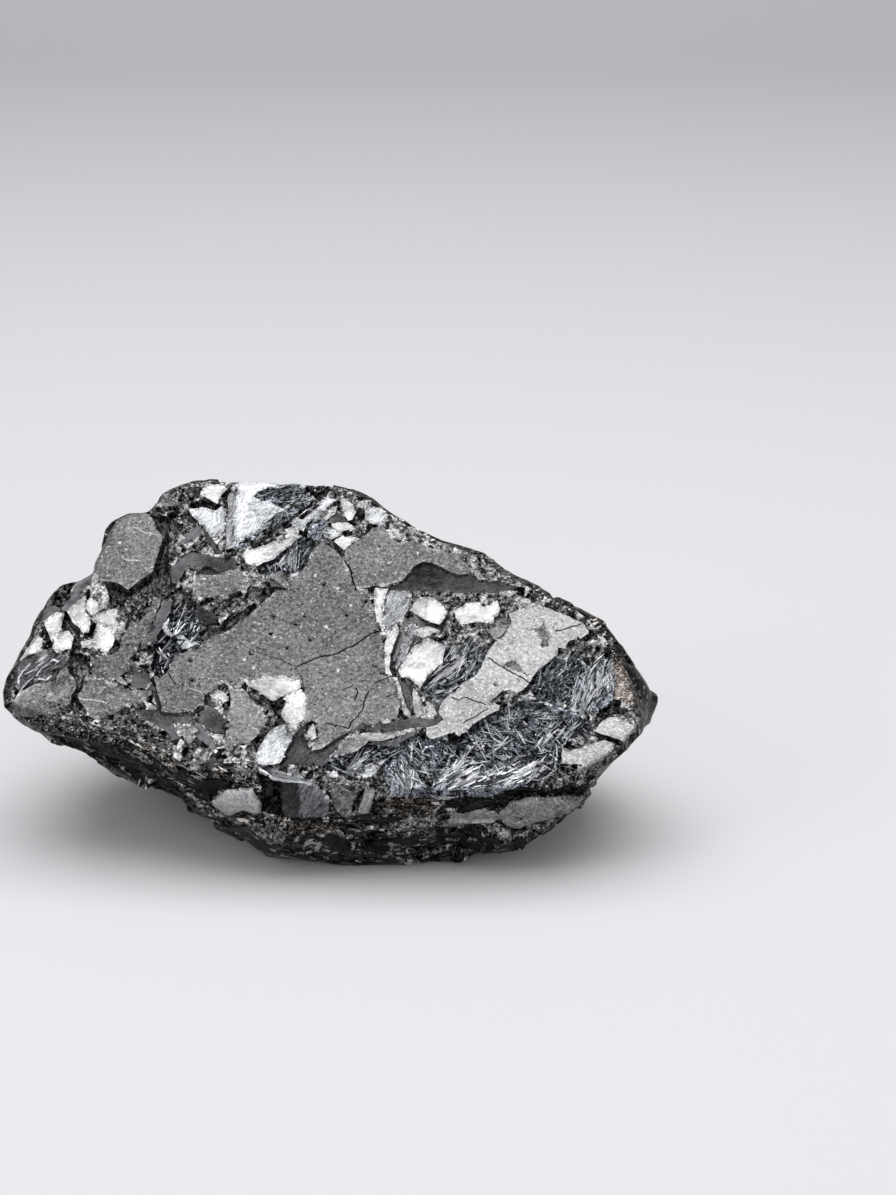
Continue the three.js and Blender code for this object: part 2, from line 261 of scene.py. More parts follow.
    ("blade", 0.53, -1, 88, [(-31, 46), (-28.8, 48), (-28.6, 36), (-28.2, 27), (-31.2, 26),
     (-30.9, 33)]),
    ("blade", 0.86, -0.5, 65, [(-28.5, 49.5), (-20, 50.6), (-14, 50.6), (-9, 48.5), (-9.5, 46),
     (-12, 43), (-17.5, 38), (-23, 32.5), (-28, 28), (-29, 36)]),
    ("fibre", 0.38, -0.9, 20, [(-24.2, 44.5), (-22.5, 47), (-17, 48.5), (-11, 49), (-9, 47),
     (-13.5, 42), (-16, 40.5), (-19.5, 42.8), (-22, 43)]),
    ("blade", 0.74, -0.7, 30, [(-25, 42), (-22, 43), (-17, 40), (-19, 38), (-22.5, 37.5)]),
    ("fibre", 0.56, -1.2, 43, [(-29, 25.5), (-26.5, 26), (-22, 30), (-15, 36), (-8, 42), (-7, 45),
     (-8.5, 46.5), (-18, 37), (-24, 31.5), (-28, 27.8)]),
    ("grain", 0.34, -1.8, 43, [(-24.5, 29), (-20, 33), (-16.5, 35.5), (-14.8, 31.5), (-21, 27.5),
     (-24, 26.8)]),
    ("grain", 0.34, -0.8, 0, [(-38, 50), (-33, 49.6), (-25, 51), (-14, 51), (-5, 48.8), (1, 46),
     (4, 46), (-5, 53), (-12, 54), (-25, 55), (-36, 53)]),
    # Blades along the top.
    ("fibre", 0.20, -3, 82, [(-14, 29), (-10, 31), (-6, 31), (-4.5, 29.8), (-7.5, 26), (-8.3, 22),
     (-11, 18.2), (-18.5, 17.5), (-21, 20), (-18, 22.8), (-15.5, 25.8)]),
    ("fibre", 0.42, -2.2, 50, [(-8, 35.2), (-5, 37), (-3.5, 36), (-2, 33), (-2.8, 30.5), (-5.5, 30),
     (-8.5, 31.5)]),
    ("bright", 0.84, -0.5, 38, [(-26.5, 24), (-25, 25.5), (-22, 26.5), (-16, 29), (-13, 30.3),
     (-10.5, 30), (-15, 25.5), (-18, 22.5), (-22, 20.3), (-25, 21.3)]),
    ("bright", 0.79, -0.7, 20, [(-14.5, 33.5), (-13, 33.8), (-10, 30.8), (-10.5, 29.8),
     (-14.5, 30.5)]),
    ("blade", 0.77, -0.4, 48, [(-3.2, 44.8), (-0.5, 44), (-3, 41), (-6, 37.5), (-9, 34.5),
     (-9.5, 32), (-12, 33.5), (-13, 35), (-12, 36.8), (-9, 39.5), (-5, 43)]),
    ("bright", 0.74, -0.9, 48, [(0, 41.5), (-0.5, 39), (-3.5, 36.3), (-4.3, 37.8), (-3, 40)]),
    ("hole", 0.39, -2.6, 48, [(-0.1, 43.7), (0.4, 41.5), (-3, 39.9), (-2.2, 42)]),
    ("hole", 0.31, -2.8, 48, [(-11, 37), (-6, 42), (-4.9, 41.7), (-9.8, 36)]),
    ("hole", 0.31, -2.4, 30, [(-15, 34.6), (-12.1, 36.4), (-13.8, 33.6)]),
    ("grain", 0.60, -1.1, 40, [(-25, 20.5), (-23, 21), (-20.5, 17), (-19, 15), (-22, 13.5),
     (-24.5, 15), (-26, 17.5)]),
    ("satin", 0.45, -0.9, 40, [(-18, 17), (-15, 18.7), (-13.3, 16.5), (-12.3, 15), (-13.5, 12.7),
     (-15.5, 14.3)]),
    ("slate", 0.28, -1.8, 0, [(-18.3, 16), (-17, 15.8), (-14.5, 13.3), (-18, 13.2)]),
    ("bright", 0.79, -1.1, 0, [(-12.5, 17.5), (-10, 18.5), (-11.5, 15.5), (-12.8, 15.5)]),
    ("slate", 0.32, -1.2, 50, [(-2.8, 36), (-0.3, 39.3), (1, 38.5), (3.5, 35.2), (0, 35.5)]),
    ("bright", 0.82, -0.6, 70, [(0.5, 44.3), (1.2, 41), (3, 36.5), (4.3, 36.8), (4.8, 39),
     (4.2, 41.5), (2, 43.6)]),
    ("hole", 0.31, -2.6, 70, [(4.8, 40.5), (6.8, 40.6), (7.2, 38), (6.2, 36.7), (5, 38.5)]),
    ("blade", 0.71, -0.7, 65, [(7.5, 41.2), (10, 41.2), (13, 39.2), (14.3, 37.8), (13.8, 35.5),
     (11.5, 34.7), (8, 35.3)]),
    ("bright", 0.79, -0.8, 60, [(15, 35), (17.5, 33.5), (19, 31), (18.5, 29.5), (16.5, 29.8),
     (15, 32.5)]),
    ("bright", 0.84, -0.6, 10, [(-1.5, 35), (0, 36), (3, 35.5), (4.7, 34), (4.5, 32.5), (1.5, 31.8),
     (-0.5, 33)]),
    ("bright", 0.84, -0.6, 10, [(0, 30), (1.5, 31), (6.5, 30), (4, 28), (2, 25.5), (-0.8, 29)]),
    ("blade", 0.77, -0.8, 70, [(-4, 32), (-2.5, 34), (0, 32.5), (0.5, 31), (-1, 30.2),
     (-3.5, 30.3)]),
    ("hole", 0.29, -2.6, 10, [(0.9, 32.4), (3.3, 33), (4.6, 31.1), (2.2, 30.3)]),
    ("grain", 0.56, -0.7, -35, [(14.5, 39), (20, 35), (25, 32), (30, 29), (34, 26.5), (30, 25.5),
     (25, 28), (20, 29), (16, 34.5)]),
    # Right of the main plate: dark wall, bright ridges and the cavity below them.
    ("slate", 0.22, -1.3, 0, [(8.8, 12.7), (14, 13), (18.5, 14.5), (19.5, 17), (21.5, 19.5),
     (24, 21.5), (26, 21.5), (29.5, 20), (34.5, 17.2), (38, 17.2), (40, 15.2), (45, 14.7),
     (49, 13.7), (50, 11.8), (40, 10.8), (30, 11), (26, 12), (15, 11.8)]),
    ("grain", 0.50, -0.8, -20, [(40.5, 22.5), (44.5, 18), (50, 15.5), (53, 12.5), (46, 14.5),
     (41, 15.5), (39, 17.5), (40.5, 21)]),
    ("grain", 0.48, -2.4, 40, [(14, 12), (26, 12), (40, 11), (50, 12), (52, 8), (48, 2), (44, -6),
     (40, -14), (34, -22), (28, -30), (17, -31), (14, -16), (14, -2)]),
    ("fibre", 0.28, -3.2, 50, [(30, -5.5), (33, -6.5), (38, -6), (40.5, -6), (40.3, -11),
     (38.5, -16.5), (35.5, -18.5), (33, -22), (30, -24.5), (26, -23.5), (24.5, -19.5),
     (27.5, -14.8), (30.2, -9.5)]),
    ("blade", 0.45, -2.2, 50, [(25.2, -18.4), (30, -12.3), (35.4, -6.4), (34.4, -6.3),
     (29.4, -11.9), (25, -17.4)]),
    ("grain", 0.58, -2, -10, [(30, -1.5), (35, -1), (38, 0.5), (40, -5), (34, -4.5)]),
    ("blade", 0.50, -1.4, 72, [(14.7, 12), (20, 12.2), (20.5, 10), (20, 6), (18.5, 3), (17, 0.5),
     (15, -3.5), (14, -1), (13, 2), (13.7, 9.5)]),
    ("bright", 0.86, -0.5, 75, [(11, 12.3), (14.7, 12), (13.5, 9.5), (13, 5), (13, 2), (13.8, -0.5),
     (13, -2), (12, 0.5), (10.8, 5), (10.7, 8.5)]),
    ("slate", 0.42, -2, 72, [(19, 3), (20, 2), (19.5, -1), (18.5, -5), (16.2, -12), (15.7, -15),
     (15.3, -11), (17, -4), (18, -1)]),
    ("bright", 0.86, -0.4, 80, [(17.3, 0.8), (17.7, -1.5), (16.8, -4.5), (15.5, -10), (15.3, -14.5),
     (15.8, -16.4), (14.3, -16.2), (14, -7), (14.5, -3.5), (15.8, -0.8)]),
    ("blade", 0.52, -1.4, 72, [(20.5, 1), (22.3, 1), (21.8, -4.5), (20, -8.5), (17, -16),
     (16.7, -12), (19.5, -4)]),
    ("bright", 0.86, -0.4, 20, [(20.2, 5), (21.5, 7), (23.5, 9.3), (25.5, 9.8), (27.5, 9),
     (29.5, 6.8), (30.7, 4.5), (30, 2.5), (28.5, 0.3), (26, 0.8), (22, 3.8)]),
    ("slate", 0.35, -2, 0, [(19.5, 2), (21, 3.5), (26, 0.5), (29, -0.2), (25, -0.4)]),
    ("bright", 0.88, -0.3, 30, [(32.3, 5.2), (35, 6.2), (36, 7.8), (39, 7.8), (41, 5.5), (43, 7.5),
     (44.5, 8), (45.3, 6), (45, 4), (44.2, 1.5), (43, 0), (38, 1), (34.4, 0.3), (33, 2.8)]),
    ("grain", 0.78, -0.8, 30, [(39, 10), (41, 11.5), (44, 11), (45.5, 9), (42, 6.5), (40, 7.5)]),
    ("bright", 0.86, -0.3, 50, [(21.5, -7.5), (24.3, -5.3), (26, -5), (30.3, -7.5), (29.3, -12.5),
     (27.5, -14.5), (25.5, -17), (23.5, -20.5), (20.5, -17), (18.3, -17), (17.5, -14.5),
     (20.3, -9.5)]),
    ("bright", 0.74, -0.9, 10, [(23, -1), (25, -0.3), (28.7, -1.3), (25.3, -3.5), (24, -4.5),
     (22.8, -3.5)]),
    ("grain", 0.12, -2.4, 0, [(24.8, -5), (25.2, -3.8), (27, -2.7), (28.5, -3), (29.8, -5),
     (27.5, -4.8)]),
    ("satin", 0.53, -1, 0, [(43.8, 3), (47.3, 3.2), (48.2, 2), (47.8, -0.5), (45, -4), (43, -4.5),
     (42, -2.5), (43.5, 1)]),
    ("bright", 0.80, -0.6, 78, [(16, -17.5), (17, -17.3), (18.7, -22), (20.5, -28.5), (21, -30),
     (19, -29), (18, -24)]),
    ("slate", 0.32, -1.6, 78, [(17.5, -17.5), (19.5, -19), (21, -22), (21.3, -29), (19.5, -23)]),
    ("bright", 0.68, -0.8, 70, [(21.5, -21), (23, -22.5), (25, -28), (27, -29.5), (22, -30)]),
    ("bright", 0.76, -1, 80, [(25, -25), (27.5, -25.5), (28, -29), (26, -29.5)]),
    ("slate", 0.33, -1.2, 80, [(27.5, -25), (29.5, -25), (28.8, -28.5), (29.3, -30.5),
     (27.8, -27)]),
    # Right side and the dark blue fibrous hollow along the bottom right.
    ("fibre", 0.24, -2, 60, [(55, -15), (60, -10.5), (66, -10.5), (68, -13), (66, -20), (63, -25),
     (60, -27), (55, -25), (52.5, -19)]),
    ("grain", 0.40, -1.2, 0, [(64.5, -5.5), (69.5, -5), (71, -7), (70, -10.5), (61, -11),
     (60.5, -8)]),
    ("fibre", 0.50, -1, 80, [(65.5, -17.8), (67.9, -14.1), (71.8, -10.4), (74.8, -11.3),
     (76.1, -17.8), (75.9, -23.2), (73.5, -26.9), (69.7, -28.7), (66, -28.2), (63.4, -26)]),
    ("bright", 0.79, -0.5, -60, [(71.7, -3.2), (73.5, -4.5), (74.3, -5.8), (73.5, -7.5),
     (72.5, -6)]),
    ("rust", 0.52, -0.8, 70, [(75.5, -10), (78, -10.5), (80, -14.5), (82, -18.5), (83.5, -23.5),
     (80, -26), (75.5, -24), (76, -19)]),
    ("fibre", 0.25, -2.8, -35, [(33, -38), (36, -33.5), (40, -30.8), (45, -28.5), (50, -25),
     (57, -25), (66, -29.5), (70, -34), (62, -38), (60, -44), (59, -47), (52, -52), (40, -54),
     (30, -55), (31, -45)]),
    ("fibre", 0.28, -2.6, -50, [(16, -39), (20, -36), (27, -37), (33, -36), (33, -45), (30, -50),
     (22, -46), (18, -43)]),
    ("fibre", 0.50, -1.6, -60, [(16, -41), (18.5, -41.5), (22, -46), (24, -50), (28, -54),
     (21, -54), (14, -53), (14, -45)]),
    ("fibre", 0.62, -1.4, 30, [(27, -49.5), (30, -45.5), (33, -45), (36.5, -43), (35, -47),
     (40, -46.5), (42, -49.5), (48, -48), (54, -44), (55, -48), (50, -51), (45, -53.5), (36, -54.5),
     (28, -55), (27, -52)]),
    ("fibre", 0.42, -1.9, -40, [(54, -37), (57, -34), (62, -33), (64, -36.5), (61, -39.5),
     (57, -40)]),
    ("matte", 0.80, -0.2, 0, [(70, -34.5), (72.3, -31), (74.5, -30.2), (77, -30.3), (80.5, -32.8),
     (81.3, -34), (79, -35.5), (78.7, -38.2), (74, -36.5)]),
    ("matte", 0.77, -0.4, 20, [(61, -39.2), (62.5, -40.7), (66, -39.8), (69.5, -38.3), (73, -37.3),
     (75.2, -38.2), (74, -41.5), (72.8, -45), (71, -47), (66.5, -44.8), (60.8, -44.8)]),
    ("satin", 0.65, -0.9, 80, [(65.3, -45.3), (67, -45.5), (68.2, -49), (66.5, -50.2),
     (65.2, -47.5)]),
    ("hole", 0.34, -2.6, 30, [(71, -35), (74, -37), (78, -38.9), (77, -39.3), (73, -37.8),
     (70.2, -36.2)]),
    ("hole", 0.31, -2.6, 0, [(74, -26.6), (78.5, -26.6), (79, -29), (75, -29)]),
    ("grain", 0.34, -0.8, 0, [(79, -26.5), (84, -24), (87, -31), (85, -37), (82, -40), (80, -38),
     (82.3, -34), (79.5, -30)]),
    ("grain", 0.80, -0.2, 0, [(81.7, -30), (83.9, -29.1), (85.8, -30), (86.4, -32.3), (85.9, -34.9),
     (83.7, -35.8), (82.2, -34.5), (81.2, -32.3)]),
    ("hole", 0.20, -2.4, 0, [(82, -30.9), (83.9, -30.5), (85.1, -31.8), (84.9, -33.6), (83, -34.3),
     (81.9, -32.7)]),
    # Large bright plate at the right.
    ("matte", 0.79, -0.1, 35, [(54.8, 7.7), (60, 5), (64.5, 2.4), (68, 1), (69.5, -2.5), (67, -4.3),
     (64, -5.2), (62.8, -7.8), (60.7, -7.3), (60.5, -9.7), (58, -12), (55, -15), (53.5, -18.3),
     (52, -20), (50, -22.5), (47.5, -21.3), (45.8, -21.8), (43, -25), (45, -26.5), (44.7, -28.2),
     (41, -30), (37.5, -32.5), (36, -35), (34, -36.5), (32.4, -34.8), (29, -36.5), (26.5, -37.2),
     (25.2, -36), (25.3, -33.5), (29.7, -31), (28.7, -28.5), (29.5, -25.3), (31.5, -23),
     (33.3, -22), (35.5, -18.5), (38.5, -16.8), (40, -14), (41, -10), (43.5, -5.5), (46, -3.8),
     (47.5, -1.3), (48.5, 1.8), (48, 4), (50.5, 5.3)]),
    ("matte", 0.46, -0.7, 0, [(57.2, 1), (57.8, -0.5), (59.2, -3.7), (58.3, -5.5), (58.8, -7),
     (57.3, -7.5), (55.8, -8.7), (57, -5), (55.5, -2), (53.5, -1.3), (56, -0.8)]),
    ("matte", 0.44, -0.7, 0, [(48, -11.7), (50.5, -13.3), (53, -17.5), (47.5, -14), (45.5, -13.6)]),
    ("slate", 0.45, -1.2, 45, [(41, -26), (43.5, -24), (46, -21.3), (44.5, -24.5), (42.5, -26.3)]),
    ("matte", 0.70, -0.5, 0, [(49.2, -3.5), (50.1, -5), (48.5, -7.7), (45.8, -9.6), (45.2, -9),
     (47.5, -7.3)]),
    ("bright", 0.76, -0.6, 40, [(50, 8), (51.5, 9.5), (54, 8.7), (53, 7.3)]),
    ("bright", 0.74, -0.6, -20, [(46.5, 11.3), (48.5, 12.2), (50.5, 11.5), (48, 9.8)]),
    # Bands below the main plate.
    ("fibre", 0.20, -2.4, 20, [(-1.5, -43.5), (5, -41.5), (8.5, -38.5), (12, -38.8), (18, -37),
     (20, -40), (16, -43), (12.5, -43.5), (5.5, -46.5), (4.3, -49.5), (-1, -49)]),
    ("grain", 0.42, -1.4, 0, [(-5, -50), (-4, -47), (0.5, -47.5), (5, -49.5), (9, -50), (14, -47.5),
     (16, -53), (0, -54)]),
    ("slate", 0.30, -1, 15, [(9.3, -33.7), (13, -32.5), (17.5, -31), (21, -30.2), (29, -30.3),
     (29.5, -31.2), (25.5, -33.5), (22.5, -33), (19.5, -34), (11, -34.8)]),
    ("slate", 0.32, -1.4, 30, [(-2, -43.3), (6.5, -40.8), (9, -38.7), (16, -37), (23, -34.5),
     (17, -39), (10, -38.5)]),
    ("satin", 0.55, -0.6, 25, [(-1.2, -42.8), (2.4, -38), (6.5, -35.5), (9.5, -34.9), (15, -35.2),
     (22, -33.3), (19, -35.5), (14, -37.4), (10.5, -37.8), (6, -41), (2, -42)]),
    ("blade", 0.65, -1.2, 37, [(6.5, -48.5), (9, -46.5), (15, -43.4), (12, -47.5), (9.5, -49.3)]),
    ("bright", 0.84, -1, 0, [(-0.9, -48.5), (0.7, -47), (2.2, -47.5), (1.8, -49)]),
    # Lower left rim.
    ("grain", 0.34, -1.6, -25, [(-66, -33), (-57, -30), (-52, -28.5), (-45, -34), (-42.5, -37),
     (-41, -45), (-52, -38.5), (-62, -35)]),
    ("slate", 0.30, -1.2, -40, [(-48.7, -18.7), (-47.2, -21.4), (-46, -25.5), (-45.3, -28.3),
     (-36.5, -29), (-35.5, -30), (-39, -32), (-42.2, -31.5), (-40.5, -36.5), (-42.5, -37.5),
     (-43.5, -34.3), (-48, -32), (-52.5, -28), (-47, -27.8), (-48.3, -22), (-50, -20.5)]),
    ("bright", 0.84, -0.5, 0, [(-50.5, -25.3), (-49, -25.8), (-46.7, -27.8), (-49.7, -27.9)]),
    ("slate", 0.38, -1, -55, [(-37, -31), (-35, -32), (-31, -38), (-29.5, -41), (-34.5, -37.5),
     (-38, -34.5)]),
    ("satin", 0.48, -0.4, 0, [(-41, -33), (-37.5, -32.5), (-35.5, -34.5), (-39, -37)]),
    ("bright", 0.79, -0.8, 0, [(-40.5, -37), (-39, -38), (-38.5, -39.7), (-40.8, -39.2)]),
    ("satin", 0.45, -1, -50, [(-33, -40), (-31, -40.5), (-34, -45), (-37.5, -47.5), (-36, -44)]),
    ("slate", 0.30, -1.4, -60, [(-31, -41), (-30, -42), (-31, -46), (-34, -46)]),
    ("grain", 0.36, -1, 0, [(-26, -44), (-20.3, -44.5), (-18, -49), (-25, -49)]),
    ("blade", 0.40, -1.2, -15, [(-20, -45), (-13.5, -46.2), (-4.5, -50), (-4, -52), (-13, -51)]),
    # Chipped patch in the lower middle.
    ("hole", 0.34, -2.6, 60, [(-13.5, -29), (-12.5, -31), (-13.8, -34), (-18, -41), (-19.8, -40.5),
     (-17, -33.5)]),
    ("slate", 0.24, -1.4, 42, [(-10, -36), (-7.8, -32.8), (-4.5, -30.2), (-7, -33.8), (-7, -37),
     (-5.3, -41.2), (-2, -39.5), (1.2, -37.1), (5, -34.3), (8.2, -31.8), (9.2, -32.9), (3.5, -36.5),
     (1, -40.5), (-2, -45), (-13.5, -45.2), (-11.5, -40)]),
    ("slate", 0.30, -1, 50, [(-33.3, -26.5), (-31, -27.5), (-28.8, -29), (-28.7, -35), (-31.9, -35),
     (-35, -31.6), (-35.2, -28.7)]),
    ("bright", 0.82, -0.8, 80, [(-31.9, -35.2), (-28.8, -35.1), (-28.6, -40), (-29.5, -39)]),
    ("grain", 0.66, -1, 0, [(-23.5, -38.5), (-20.5, -38.5), (-19.5, -42), (-20, -44.5),
     (-28.5, -41.5)]),
    ("matte", 0.58, -0.3, 0, [(-28, -21), (-24.3, -20.8), (-22.5, -23), (-20.8, -26), (-18, -29.5),
     (-17.4, -31.7), (-19.8, -36.5), (-21.3, -38), (-25, -38.5), (-28, -40), (-28.3, -33),
     (-27, -26.5)]),
    ("grain", 0.45, -0.9, 0, [(-20, -26.3), (-17.8, -27.2), (-14.2, -29), (-15.5, -31.5),
     (-18.3, -29)]),
    ("blade", 0.75, -0.6, 65, [(-12.8, -31.5), (-10.2, -36), (-11.6, -40), (-13.6, -44.7),
     (-17, -45.3), (-20, -44.8), (-19.3, -40), (-17.7, -36.5), (-15.5, -33.3)]),
    ("bright", 0.78, -0.7, 20, [(-33, -23.5), (-31.5, -21.2), (-29.5, -21.9), (-27.8, -24.6),
     (-29.5, -25.5)]),
    # Main plate and the plate at its upper right.
    ("hole", 0.39, -2.4, 0, [(-9, 19.5), (-8.2, 24), (-7, 27.5), (-5.5, 30), (-3.5, 30.4),
     (-1.5, 30), (0.8, 27.3), (3, 23.5), (0, 20)]),
    ("matte", 0.50, 0, 0, [(2.2, 25.8), (4.5, 27.7), (7, 30), (10, 33.5), (13, 34), (14.3, 32),
     (15.7, 29.5), (17, 28.5), (20, 28.5), (24, 27.7), (26.5, 26.2), (31, 24.9), (35.5, 24.3),
     (38.5, 23), (40, 21.3), (38, 18.5), (34.5, 16.8), (32, 17.8), (29, 19.8), (26, 21),
     (24.3, 21.6), (22.5, 20.3), (20, 18.5), (18.5, 14.8), (15, 13.7), (9, 12.9), (5, 12),
     (2, 18)]),
    ("grain", 0.62, -0.1, -20, [(34.8, 23.5), (38.5, 22.7), (39.7, 21), (37.5, 19.3), (35, 20.5)]),
    ("matte", 0.50, 0, 0, [(-4.1, 28.4), (-2.1, 27.5), (0, 25.2), (1.5, 22.8), (2.3, 22), (4, 19),
     (4.5, 15), (6, 12), (9, 12.6), (9.5, 10), (10.5, 5), (11, 1), (12.5, -3), (13.8, -8),
     (13.5, -10), (14.3, -13), (14.3, -15.5), (13, -16.8), (15.5, -16.8), (17, -19.5), (18, -25),
     (17.8, -28), (17.7, -30.5), (14, -31.5), (9.5, -33), (8.3, -31.8), (5, -34.3), (1.2, -37),
     (-2, -39.5), (-5.3, -41), (-3.5, -36), (-5, -31.3), (-7.3, -32), (-7, -28), (-6.8, -25),
     (-7.5, -21.5), (-8.8, -18.8), (-12.5, -17.3), (-18, -16.8), (-20, -18), (-24, -17.6),
     (-24.5, -20.5), (-28, -20), (-30, -18.8), (-31.5, -21), (-34.5, -23.5), (-34, -26.2),
     (-36, -26.7), (-37, -28.4), (-42, -28.8), (-45.4, -28.2), (-46.2, -25.5), (-47.2, -21.4),
     (-48.5, -17), (-46.6, -17.2), (-44.8, -15.8), (-43.2, -11.4), (-42.8, -9.9), (-39.8, -8.8),
     (-36.6, -8), (-35.4, -5.5), (-33.6, -4.9), (-31.6, -3.5), (-30.1, -3.2), (-28.9, -2.3),
     (-24.8, 1.5), (-19.8, 7.4), (-16.2, 11.7), (-13.3, 11.8), (-12.4, 14.8), (-9.7, 17.8),
     (-7.6, 20.8), (-7.1, 24.3), (-6.2, 26.6)]),
    ("bright", 0.70, -0.2, 60, [(1.6, 21.9), (3.5, 21.6), (4, 19.3), (3, 18.1)]),
    ("hole", 0.31, -2.8, -40, [(-23.4, -21.3), (-21.5, -21.3), (-19.5, -22.8), (-16.3, -24.8),
     (-13.3, -24), (-12.3, -27.2), (-16.5, -27.9), (-19, -26.2), (-22.4, -23.6)]),
    ("bright", 0.82, 0.1, -10, [(-24, -17.6), (-23.5, -18.8), (-20, -18.2), (-18, -17),
     (-13.8, -16.7), (-12.5, -17.4), (-9, -18.3), (-8.5, -20.5), (-11, -22.4), (-15.8, -25),
     (-17.5, -23.1), (-20, -21.6), (-23.5, -19.8)]),
    ("bright", 0.84, -0.1, 70, [(-13.3, -24.3), (-11, -22.5), (-8.6, -21.1), (-7.3, -23),
     (-6.8, -26), (-7.3, -30.5), (-9.9, -35), (-12.4, -31.5), (-14, -29), (-12, -25.5)]),
    ("hole", 0.34, -1.8, 80, [(-5.6, -30.9), (-4, -32), (-3.3, -36.8), (-5, -38.6), (-6.8, -36.5),
     (-6.4, -33)]),
    ("bright", 0.79, -0.6, 80, [(-5.2, -31.8), (-4.3, -34), (-3.9, -36.5), (-5, -37.5), (-6, -36),
     (-5.8, -33.5)]),
    ("hole", 0.31, -2, 0, [(12.3, -14.9), (13.9, -15.2), (13.8, -16.5), (12.4, -16.6)]),
    ("hole", 0.31, -1.6, 30, [(7.6, -4.9), (8.8, -3.5), (9.4, -3.8), (8.2, -5.1)]),
    ("hole", 0.31, -1.6, 30, [(10.9, -2.7), (11.8, -1.8), (12.2, -2.4), (11.4, -3)]),
]]

# Cracks in the plates, and the white veins on them, whose depth is below 0: half width, depth,
# brightness and route.
CRACKS = [
    (0.16, 0.8, 0.06, [(-9.5, -13.5), (-5, -11.3), (0, -9.7), (2, -9), (5, -7), (7.5, -5),
     (9.8, -3), (12.2, -2)]),
    (0.10, 0.3, 0.26, [(-30, -3), (-27, -5), (-24, -7.2), (-20, -9), (-15, -11.5), (-10, -13.5),
     (-8.5, -17), (-7.5, -21.5)]),
    (0.12, 0.4, 0.12, [(-21, -7.3), (-18, -8.3)]),
    (0.12, 0.4, 0.12, [(-44.5, -15.5), (-43.6, -17.8), (-42, -20)]),
    (0.14, 0.7, 0.08, [(10, -21.5), (8.5, -25), (8, -28), (5.5, -31), (4.5, -33.7)]),
    (0.13, 0.5, 0.08, [(-2, -31.7), (1, -32.5), (4.5, -33.7)]),
    (0.13, 0.4, 0.10, [(2.5, -21.5), (5.3, -19.7)]),
    (0.14, 0.5, 0.06, [(6, -20.5), (7, -22.5), (6.2, -24.8)]),
    (0.14, 0.5, 0.08, [(11, -19), (14, -17.5), (17, -16.3)]),
    (0.12, 0.4, 0.10, [(14.5, -24), (17, -23)]),
    (0.18, 0.7, 0.06, [(2.3, 22), (4, 19), (4.5, 15), (6, 11.5)]),
    (0.14, -0.1, 0.80, [(-57, 33.5), (-54, 31.8), (-49.5, 30.5)]),
    (0.14, -0.1, 0.80, [(-59.5, 23.3), (-57.5, 21.8), (-54.5, 21.6)]),
    (0.12, -0.1, 0.75, [(-39, -20.8), (-37, -21.5), (-35, -22.7)]),
    (0.16, 0.4, 0.15, [(42, -11), (45.5, -13.8), (50, -17), (53, -19)]),
    (0.14, 0.4, 0.12, [(60, -2), (63.5, -1), (67.5, 0.3)]),
    (0.14, 0.4, 0.10, [(32, -23.7), (34, -24.6), (35.3, -23.5), (37.5, -24.5), (41, -26)]),
    (0.14, 0.4, 0.12, [(35, -32), (38, -29.8), (41.5, -27.5)]),
    (0.14, -0.1, 0.85, [(-67.5, -24), (-64, -24.5), (-60.5, -26)]),
    (0.30, -0.50, 0.95, [(50.3, -23.2), (55.9, -24.8), (59.6, -26.9), (63.3, -28.4), (67.8, -30)]),
    (0.24, -0.50, 0.85, [(58.5, -27.3), (63, -28.2)]),
    (0.26, -0.50, 0.90, [(58, -41), (59.3, -43.5), (59.5, -46)]),
    (0.26, -0.50, 0.95, [(31, -45.5), (31.3, -43.5), (32.5, -41.5)]),
    (0.26, -0.50, 0.95, [(22, -43), (25, -39.5), (27, -39)]),
    (0.28, -0.3, 0.95, [(-43.6, -1), (-42.8, 0.4), (-42, 2)]),
    (0.24, -0.3, 0.90, [(-38.2, -2.4), (-37.6, 2)]),
    (0.30, -0.50, 0.95, [(-20, -45.5), (-15, -49), (-10, -50), (-5, -50.6)]),
    (0.24, -0.2, 0.90, [(59.5, -46.6), (57.5, -48.2), (56, -49.5)]),
    (0.26, -0.2, 0.88, [(66.4, -26.2), (70.9, -27.3), (71.2, -28.7)]),
    (0.24, -0.2, 0.95, [(33.3, -45.5), (34, -43.8), (36, -42.5)]),
    (0.16, -0.3, 0.75, [(25, -22.5), (27, -21), (29.5, -21.3), (32, -22)]),
    (0.22, -0.15, 0.80, [(-85, -24.5), (-83, -20.7), (-80.9, -16.9), (-78.4, -13.5), (-75.8, -11.2),
     (-74.3, -12)]),
    (0.16, -0.15, 0.62, [(-83.1, -16.1), (-80.4, -14.4), (-78.2, -12)]),
    (0.22, -0.15, 0.80, [(-84.6, -19), (-84, -15.5), (-82, -12.5)]),
    (0.20, -0.15, 0.80, [(-79.5, -17.2), (-77.3, -17.8), (-75.8, -16.5)]),
]

# Small pits and small white specks on the plates, as u and v.
PITS = [
    (11, -13.5), (-16.8, 3), (-10.6, 0.3), (-17.4, -3), (3.2, 3.2), (-8.3, 3), (-3.3, 13.8),
    (-38, -18.2), (-38.8, -11.8), (66.5, -4.3), (43.7, -19.5), (-27.8, -31.6), (-27.8, -33.7),
    (-6.5, -5), (-22.5, -9.5), (8.5, 8), (-12.5, -7.5),
]
SPECKS = [
    (4.3, 6.7), (-2.3, -0.5), (-16.3, -4), (-21.8, -6), (-9, 3.8), (-24, -11.5), (-21.3, -14.3),
    (-14.5, -4.5), (-49, -16.2), (1.5, -15), (6.5, -12), (-33.5, 17), (-36.5, 15.7), (-5.5, 17),
    (0.5, 12.5), (14.5, 21), (22.5, 24.5), (11.5, 26), (-60.5, 28), (-58.5, 25.5),
]

